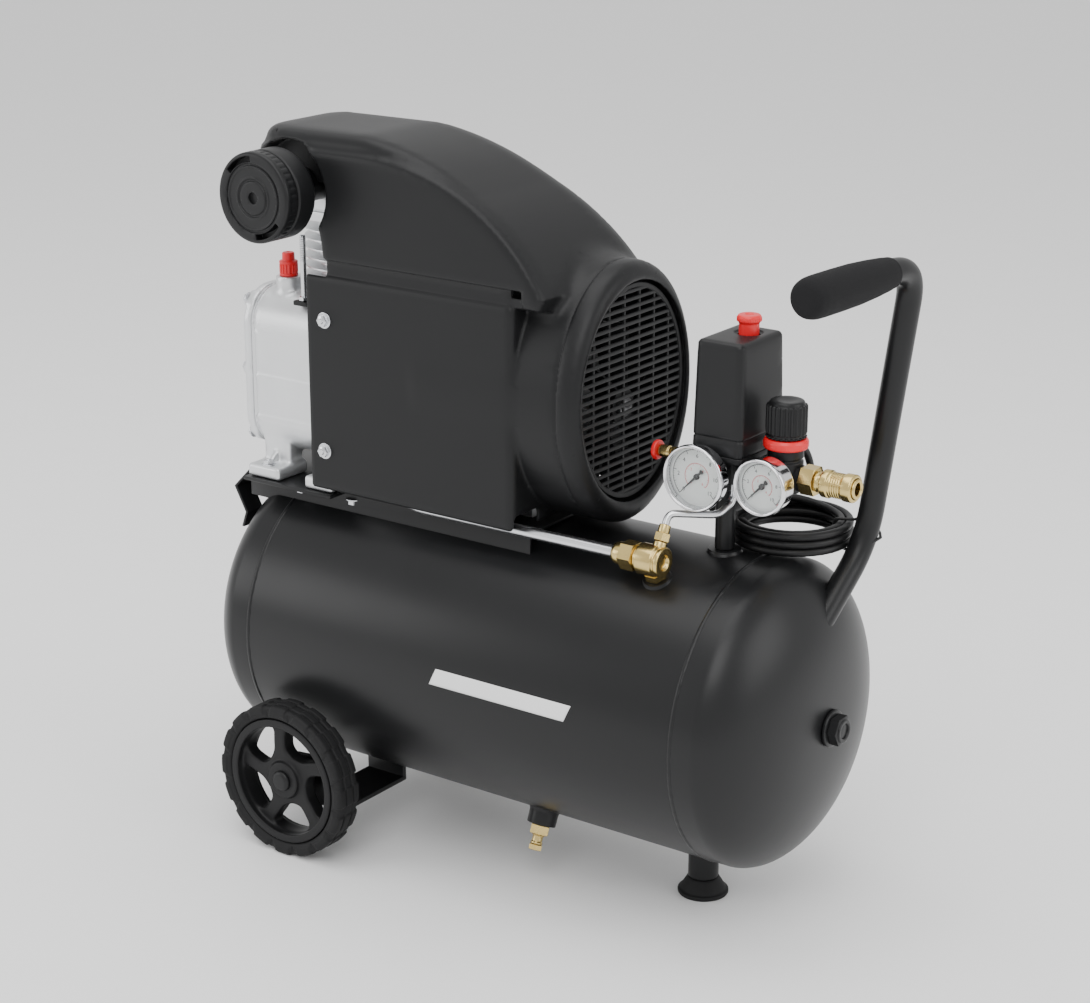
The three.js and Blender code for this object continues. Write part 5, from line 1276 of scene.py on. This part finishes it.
# ---------------------------------------------------------------- gauges
def flat_ring(bm, centre, inner, outer, a0, a1, y, steps=48):
    """Adds a flat arc on a dial that faces -Y; angles are in degrees, anticlockwise from +X, seen from -Y."""
    cx, cz = centre
    near, far = [], []
    for k in range(steps + 1):
        a = radians(a0 + (a1 - a0) * k / steps)
        near.append(bm.verts.new(at(cx + inner * cos(a), y, cz + inner * sin(a))))
        far.append(bm.verts.new(at(cx + outer * cos(a), y, cz + outer * sin(a))))
    for k in range(steps):
        bm.faces.new([near[k], near[k + 1], far[k + 1], far[k]])


def make_digit(text, x, y, z, size, name):
    curve = bpy.data.curves.new(name, "FONT")
    curve.body = text
    curve.size = size * MM
    curve.align_x = "CENTER"
    curve.align_y = "CENTER"
    curve.extrude = 0.03 * MM
    curve.resolution_u = 3
    label = bpy.data.objects.new(name, curve)
    bpy.context.collection.objects.link(label)
    label.rotation_euler = (pi / 2, 0, 0)
    label.location = at(x, y, z)
    bpy.context.view_layer.update()
    mesh = bpy.data.meshes.new_from_object(label)
    mesh.transform(label.matrix_world)
    bpy.data.objects.remove(label)
    return mesh


def make_gauge(name, top_value, step):
    """A chrome gauge: case and rim, dial, printed scale, domed lens, and a red band at the scale's end."""
    low, high = box_mm(name)
    x, z = (low[0] + high[0]) / 2, (low[2] + high[2]) / 2
    radius = (high[2] - low[2]) / 2
    front, back = low[1], high[1]
    recess = 8.0 if radius > 24 else 6.5
    body = front + (17 if radius > 24 else 22)
    dial = front + recess
    bm = bmesh.new()
    profile = [(0, dial + 1.2), (radius - 3.4, dial + 1.2), (radius - 3.2, front + 1.6),
               (radius - 2.4, front + 0.3),
               (radius - 1.2, front), (radius - 0.1, front + 1.2), (radius - 0.1, front + 4.4),
               (radius - 1.6, front + 5.6),
               (radius - 1.6, body - 4), (radius - 5, body), (8.5, body), (6.4, body + 1), (6, back),
               (0, back)]
    turned(bm, rounded(profile, [0, 0.2, 0.6, 0.8, 0.8, 0.8, 0.6, 0.3, 1, 1.5, 1, 0.5, 0, 0]), (x, 0, z), "y",
           120)
    finish_mesh(name + "_case", bm, "chrome", replaces=(name,))
    bm = bmesh.new()
    turned(bm, rounded([(0, dial + 0.05), (radius - 3.3, dial + 0.05), (radius - 3.3, dial + 1.3),
                        (0, dial + 1.3)], 0.1),
           (x, 0, z), "y", 96)
    finish_mesh(name + "_dial", bm, "dial_white")
    plane = dial - 0.02
    bm = bmesh.new()
    scale = radius - 5.2
    flat_ring(bm, (x, z), scale - 0.25, scale + 0.25, -45, 225, plane, 96)
    for k in range(51):
        a = 225 - 270 * k / 50
        major = k % 10 == 0
        middle = k % 5 == 0
        inner = scale - (2.8 if major else 1.9 if middle else 1.2)
        width = (0.9 if major else 0.6 if middle else 0.4) * 57.3 / scale * 0.55
        flat_ring(bm, (x, z), inner, scale + 0.2, a - width / 2, a + width / 2, plane, 2)
    flat_ring(bm, (x, z), 0.2, 2.4, 0, 360, plane, 24)
    finish_mesh(name + "_scale", bm, "dial_black")
    bm = bmesh.new()
    flat_ring(bm, (x, z), scale + 0.5, scale + 1.5, -45, 18, plane, 40)
    red = scale * 0.5
    flat_ring(bm, (x, z), red - 0.2, red + 0.2, -45, 225, plane, 72)
    for k in range(29):
        a = 225 - 270 * k / 28
        reach = 1.6 if k % 4 == 0 else 0.9
        flat_ring(bm, (x, z), red - reach, red, a - 0.9, a + 0.9, plane, 2)
    finish_mesh(name + "_red_print", bm, "dial_red")
    for print_name, values, distance, size, material in (
            ("numbers", range(0, top_value + 1, step), scale - 4.9, radius * 0.17, "dial_black"),
            ("small_numbers", range(0, 8, 2), red - 3.4, radius * 0.12, "dial_red")):
        bm = bmesh.new()
        values = list(values)
        for value in values:
            a = radians(225 - 270 * (value - values[0]) / (values[-1] - values[0]))
            digit = make_digit(str(value), x + distance * cos(a), plane, z + distance * sin(a), size, "digit")
            bm.from_mesh(digit)
            bpy.data.meshes.remove(digit)
        finish_mesh(name + "_" + print_name, bm, material)
    bm = bmesh.new()
    lens = front + 2.4
    profile = [(0, lens - 1.3)]
    for k in range(1, 9):
        t = k / 8
        profile.append(((radius - 3.35) * t, lens - 1.3 * (1 - t ** 2)))
    profile += [((radius - 3.35) * t / 8, lens + 0.6 - 1.3 * (1 - (t / 8) ** 2)) for t in range(8, -1, -1)]
    turned(bm, profile, (x, 0, z), "y", 96)
    finish_mesh(name + "_lens", bm, "glass")


def make_needle(node, radius):
    low, high = box_mm(node)
    gauge = box_mm(node.replace("_needle", ""))
    x, z = (gauge[0][0] + gauge[1][0]) / 2, (gauge[0][2] + gauge[1][2]) / 2
    front, rear = low[1], high[1]
    reach, tail = radius * 0.68, radius * 0.3
    turn = radians(225)
    outline = [(reach, 0.18), (reach, -0.18), (1.6, -0.95), (-tail + 2.4, -0.9), (-tail + 1.4, -1.9),
               (-tail, -1.7), (-tail, 1.7),
               (-tail + 1.4, 1.9), (-tail + 2.4, 0.9), (1.6, 0.95)]
    points = [(x + u * cos(turn) - v * sin(turn), z + u * sin(turn) + v * cos(turn)) for u, v in outline]
    bm = bmesh.new()
    prism(bm, points, rear - 1.65, rear - 1.0, "xz", bevel=0.12)
    turned(bm, rounded([(0, front), (1.5, front), (2.3, front + 0.8), (2.3, rear), (0, rear)], 0.4),
           (x, 0, z), "y", 36)
    finish_mesh(node + "_blade", bm, "dial_black", node, (node,))


make_gauge("tank_gauge", 12, 2)
make_gauge("outlet_gauge", 10, 2)
for needle in ("tank_gauge_needle", "outlet_gauge_needle"):
    gauge = box_mm(needle.replace("_needle", ""))
    make_needle(needle, (gauge[1][2] - gauge[0][2]) / 2)


# ---------------------------------------------------------------- regulator, coupler and safety valve
def make_regulator():
    x, z = REG_X, CONTROL_Z
    arm_left = box_mm("regulator_body")[0][0]
    bm = bmesh.new()
    turned(bm, rounded([(0, z - 14), (9, z - 14), (12, z - 12.4), (13.9, z - 9), (13.9, z + 12),
                        (12.6, z + 13), (12.6, z + 14.4),
                        (13.9, z + 15.2), (13.9, z + 22), (4.5, z + 22), (4.5, z + 8), (0, z + 8)],
                       [0, 1.5, 1.5, 1, 0.5, 0.3, 0.3, 0.5, 0.5, 0.3, 0, 0]), (x, 0, 0), "z", 72)
    turned(bm, rounded([(0, arm_left), (10.2, arm_left), (10.2, arm_left + 5), (8.4, arm_left + 6),
                        (8.4, x - 10), (0, x - 10)],
                       0.6), (0, 0, z), "x", 56)
    nut(bm, 10.2, x + 9, x + 15.9, (0, 0, z), "x")
    finish_mesh("regulator_housing", bm, "black_plastic", replaces=("regulator_body",))
    low, high = box_mm("regulator_lock_ring")
    bm = bmesh.new()
    turned(bm, rounded([(4.6, low[2]), (16.6, low[2]), (17.4, low[2] + 1.2), (17.4, high[2] - 2.4),
                        (16, high[2] - 0.2), (4.6, high[2] - 0.2)],
                       0.6), (x, 0, 0), "z", 96, closed=True)
    for k in range(48):
        a = 2 * pi * k / 48
        turned(bm, rounded([(0, low[2] + 1), (0.42, low[2] + 1.4), (0.42, high[2] - 2.8), (0, high[2] - 2.4)],
                           0.2),
               (x + 17.05 * cos(a), 17.05 * sin(a), 0), "z", 8)
    finish_mesh("lock_ring", bm, "red_plastic", replaces=("regulator_lock_ring",))
    low, high = box_mm("regulator_knob")
    f = Field((x - 17.5, -17.5, low[2] - 1.5), (x + 17.5, 17.5, high[2] + 1.5), 0.42)
    r = np.sqrt((f.x - x) ** 2 + f.y ** 2)
    angle = np.arctan2(f.y, f.x - x)
    ribs = r - 15.35 - 0.55 * np.clip(1.7 * np.cos(angle * 24), -1, 1)
    solid = blend_cut(ribs, np.maximum(low[2] - f.z, f.z - high[2] + 3.2), 1.6)
    cap = blend_cut(r - 13.6, f.z - high[2] + 0.1, 2.6)
    solid = blend_union(solid, np.maximum(cap, low[2] + 5 - f.z), 0.8)
    dish = np.sqrt((f.x - x) ** 2 + f.y ** 2 + (f.z - high[2] - 26) ** 2) - 27.2
    solid = blend_cut(solid, -dish, 0.8)
    waist = np.maximum(abs(f.z - low[2] - 2.6) - 0.9, 14.4 - r)
    solid = blend_cut(solid, -waist, 0.6)
    solid = blend_cut(solid, -np.maximum(r - 4.4, f.z - low[2] - 21), 0.4)
    bm = bmesh.new()
    f.mesh(bm, solid, 0.05)
    finish_mesh("regulator_grip", bm, "black_plastic", "regulator_knob", ("regulator_knob",),
                50)


def make_coupler():
    low, high = box_mm("coupler_body")
    sleeve_low, sleeve_high = box_mm("coupler_sleeve")
    z = CONTROL_Z
    bm = bmesh.new()
    start, end = low[0], high[0]
    nut(bm, 12, start, min(start + 12.8, sleeve_low[0] - 4.4), (0, 0, z), "x", ease=1.2)
    profile = [(0, start + 8), (4.9, start + 8), (4.9, end - 1), (5.8, end), (7.2, end), (7.9, end - 1),
               (7.9, start + 14.6),
               (8.2, start + 14), (8.2, start + 12.4), (0, start + 12.4)]
    turned(bm, rounded(profile[1:-1], 0.35), (0, 0, z), "x", 56)
    finish_mesh("coupler_nose", bm, "brass", replaces=("coupler_body",))
    s, e = sleeve_low[0], sleeve_high[0]
    profile = [(8.5, s), (10.4, s), (10.9, s + 0.8), (10.9, s + 5.6), (9.9, s + 6.6)]
    for k in range(5):
        u = s + 8 + k * 2
        profile += [(9.9, u), (9.5, u + 0.5), (9.5, u + 1), (9.9, u + 1.5)]
    profile += [(9.9, s + 18), (10.9, s + 19), (10.9, e - 1.2), (10, e), (8.5, e)]
    bm = bmesh.new()
    turned(bm, rounded(profile, 0.35, 2), (0, 0, z), "x", 80, closed=True)
    finish_mesh("coupler_collar", bm, "brass", "coupler_sleeve", ("coupler_sleeve",))


def make_safety_valve():
    low, high = box_mm("safety_valve")
    z = CONTROL_Z
    right = high[0]
    bm = bmesh.new()
    nut(bm, 9, right - 12, right, (0, 0, z), "x")
    left = low[0]
    turned(bm, rounded([(3, left), (4.3, left), (4.9, left + 0.6), (4.9, left + 9), (4.2, left + 9.6),
                        (4.2, left + 11.6), (4.9, left + 12.2),
                        (4.9, right - 16), (6.8, right - 15), (6.8, right - 11), (3, right - 11)], 0.4),
           (0, 0, z), "x", 44,
           closed=True)
    finish_mesh("safety_valve_body", bm, "brass", replaces=("safety_valve",))
    low, high = box_mm("safety_valve_cap")
    cap = low[0]
    bm = bmesh.new()
    turned(bm, rounded([(0, cap + 0.5), (3, cap + 0.5), (3.6, cap), (7.4, cap), (7.9, cap + 1),
                        (7.9, cap + 3), (7.2, cap + 4),
                        (2.45, cap + 4), (2.45, high[0]), (0, high[0])],
                       [0, 0.2, 0.3, 0.6, 0.6, 0.6, 0.6, 0.2, 0.2, 0]),
           (0, 0, z), "x", 64)
    finish_mesh("safety_disc", bm, "red_plastic", "safety_valve_cap", ("safety_valve_cap",))


make_regulator()
make_coupler()
make_safety_valve()


# ---------------------------------------------------------------- handle
def make_handle():
    points = [(SEAM + 76.4, -71, TANK_TOP + 229.5), (SEAM + 87, 70, TANK_TOP + 230.5),
              (SEAM + 56, 70, TANK_TOP + 6),
              (SEAM + 47, 0, TANK_TOP - 60)]
    line = bezier_route(points, 30, 16)
    bm = bmesh.new()
    swept(bm, line, 9.95, 48)
    finish_mesh("handle_bar", bm, "tank_paint", replaces=("handle_tube",))
    free, corner = Vector(points[0]), Vector(points[1])
    along = (corner - free).normalized()
    bm = bmesh.new()
    profile = [(0, -6.2), (7, -6.2), (11.5, -5.0), (14.2, -2), (15.6, 4), (15.9, 12), (15.9, 34), (15.6, 58),
               (14.4, 80), (12.9, 98),
               (12.2, 102), (12.0, 105.6), (10.2, 105.9), (10.2, 90)]
    turned(bm, rounded(profile, 2.0, 5), tuple(free), sides=72, direction=along)
    finish_mesh("grip_sleeve", bm, "foam", replaces=("handle_grip",))


def make_tie():
    """A thin tie that holds the coil to the handle's leg: over the strands, down through it and back."""
    cx, cy = COIL_CENTRE
    leg = Vector((SEAM + 56.4, 69.6, 0))
    toward = (leg - Vector((cx, cy, 0))).normalized()
    across = Vector((-toward.y, toward.x, 0))
    low, top = COIL_LOW, COIL_LOW + 6 * CORD_R
    reach = (leg - Vector((cx, cy, 0))).length

    def spot(r, side, z):
        return Vector((cx, cy, 0)) + toward * r + across * side + Vector((0, 0, z))

    line = [spot(reach + 11.4, 0, top - 9), spot(reach + 7.6, 8.4, top - 7), spot(reach, 11.6, top - 3),
            spot(reach - 9, 8.6, top + 1.2),
            spot(50, 4, top + 1.7), spot(42.5, 1.2, top + 1.9), spot(36, 0, top + 1.3),
            spot(34.6, -0.6, top - 4), spot(34.4, -1, low + 8),
            spot(35, -1.4, low - 0.6), spot(42, -2.5, low - 1.7), spot(50, -5, low - 1.4),
            spot(reach - 9, -8.8, low + 3),
            spot(reach, -11.6, top - 12.5), spot(reach + 7.6, -8.4, top - 10.5),
            spot(reach + 11.4, 0, top - 9)]
    bm = bmesh.new()
    swept(bm, catmull(line, 8), 1.15, 14)
    finish_mesh("cord_tie", bm, "cord_pvc")


make_handle()
make_tie()


# ---------------------------------------------------------------- parts left as the frame has them
for node, material in (("piston", "cast_aluminium"), ("connecting_rod", "cast_aluminium"),
                       ("crankshaft", "machined_steel"),
                       ("stator", "laminations"), ("rotor_core", "laminations"),
                       ("motor_end_bell", "cast_aluminium"),
                       ("cooling_fan", "black_plastic"), ("regulator_spindle", "zinc_steel")):
    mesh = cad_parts[node].data
    mesh.materials.clear()
    mesh.materials.append(MAT[material])


def make_windings():
    """Copper end windings on both faces of the stator."""
    low, high = box_mm("stator")
    for name, x, out in (("left", low[0], -1), ("right", high[0], 1)):
        bm = bmesh.new()
        for k in range(24):
            a = 2 * pi * k / 24
            b = a + radians(34)
            points = [(x - out * 2, 50 * cos(a), SHAFT_Z + 50 * sin(a)),
                      (x + out * 6, 50 * cos(a), SHAFT_Z + 50 * sin(a)),
                      (x + out * 10, 51 * cos((a + b) / 2), SHAFT_Z + 51 * sin((a + b) / 2)),
                      (x + out * 6, 50 * cos(b), SHAFT_Z + 50 * sin(b)),
                      (x - out * 2, 50 * cos(b), SHAFT_Z + 50 * sin(b))]
            swept(bm, catmull(points, 5), 3.4, 10)
        finish_mesh("winding_" + name, bm, "copper")


# ---------------------------------------------------------------- floor, light and backdrop
def make_stage():
    floor_mesh = bpy.data.meshes.new("floor")
    bm = bmesh.new()
    bmesh.ops.create_grid(bm, x_segments=1, y_segments=1, size=9)
    bm.to_mesh(floor_mesh)
    bm.free()
    floor_mesh.materials.append(node_material("floor_white", (0.93, 0.93, 0.93), 0.6, vary=0.01, grain=300,
                                              bump=0.01))
    floor = bpy.data.objects.new("floor", floor_mesh)
    bpy.context.collection.objects.link(floor)
    world = bpy.data.worlds.new("studio")
    bpy.context.scene.world = world
    world.use_nodes = True
    world.node_tree.nodes["Background"].inputs["Color"].default_value = (1, 1, 1, 1)
    world.node_tree.nodes["Background"].inputs["Strength"].default_value = 1.0
    lamps = [("key", (1.0, -2.0, 2.6), 1.9, 42), ("side", (2.4, 0.4, 1.3), 1.5, 20),
             ("top", (-0.4, -0.2, 2.9), 2.2, 38),
             ("left", (-2.2, -1.8, 1.0), 1.2, 14)]
    for name, place, size, power in lamps:
        data = bpy.data.lights.new(name, "AREA")
        data.size, data.energy = size, power
        lamp = bpy.data.objects.new(name, data)
        bpy.context.collection.objects.link(lamp)
        lamp.location = place
        aim = Vector((0, 0, 0.28)) - Vector(place)
        lamp.rotation_mode = "QUATERNION"
        lamp.rotation_quaternion = aim.to_track_quat("-Z", "Y")


make_windings()
make_stage()
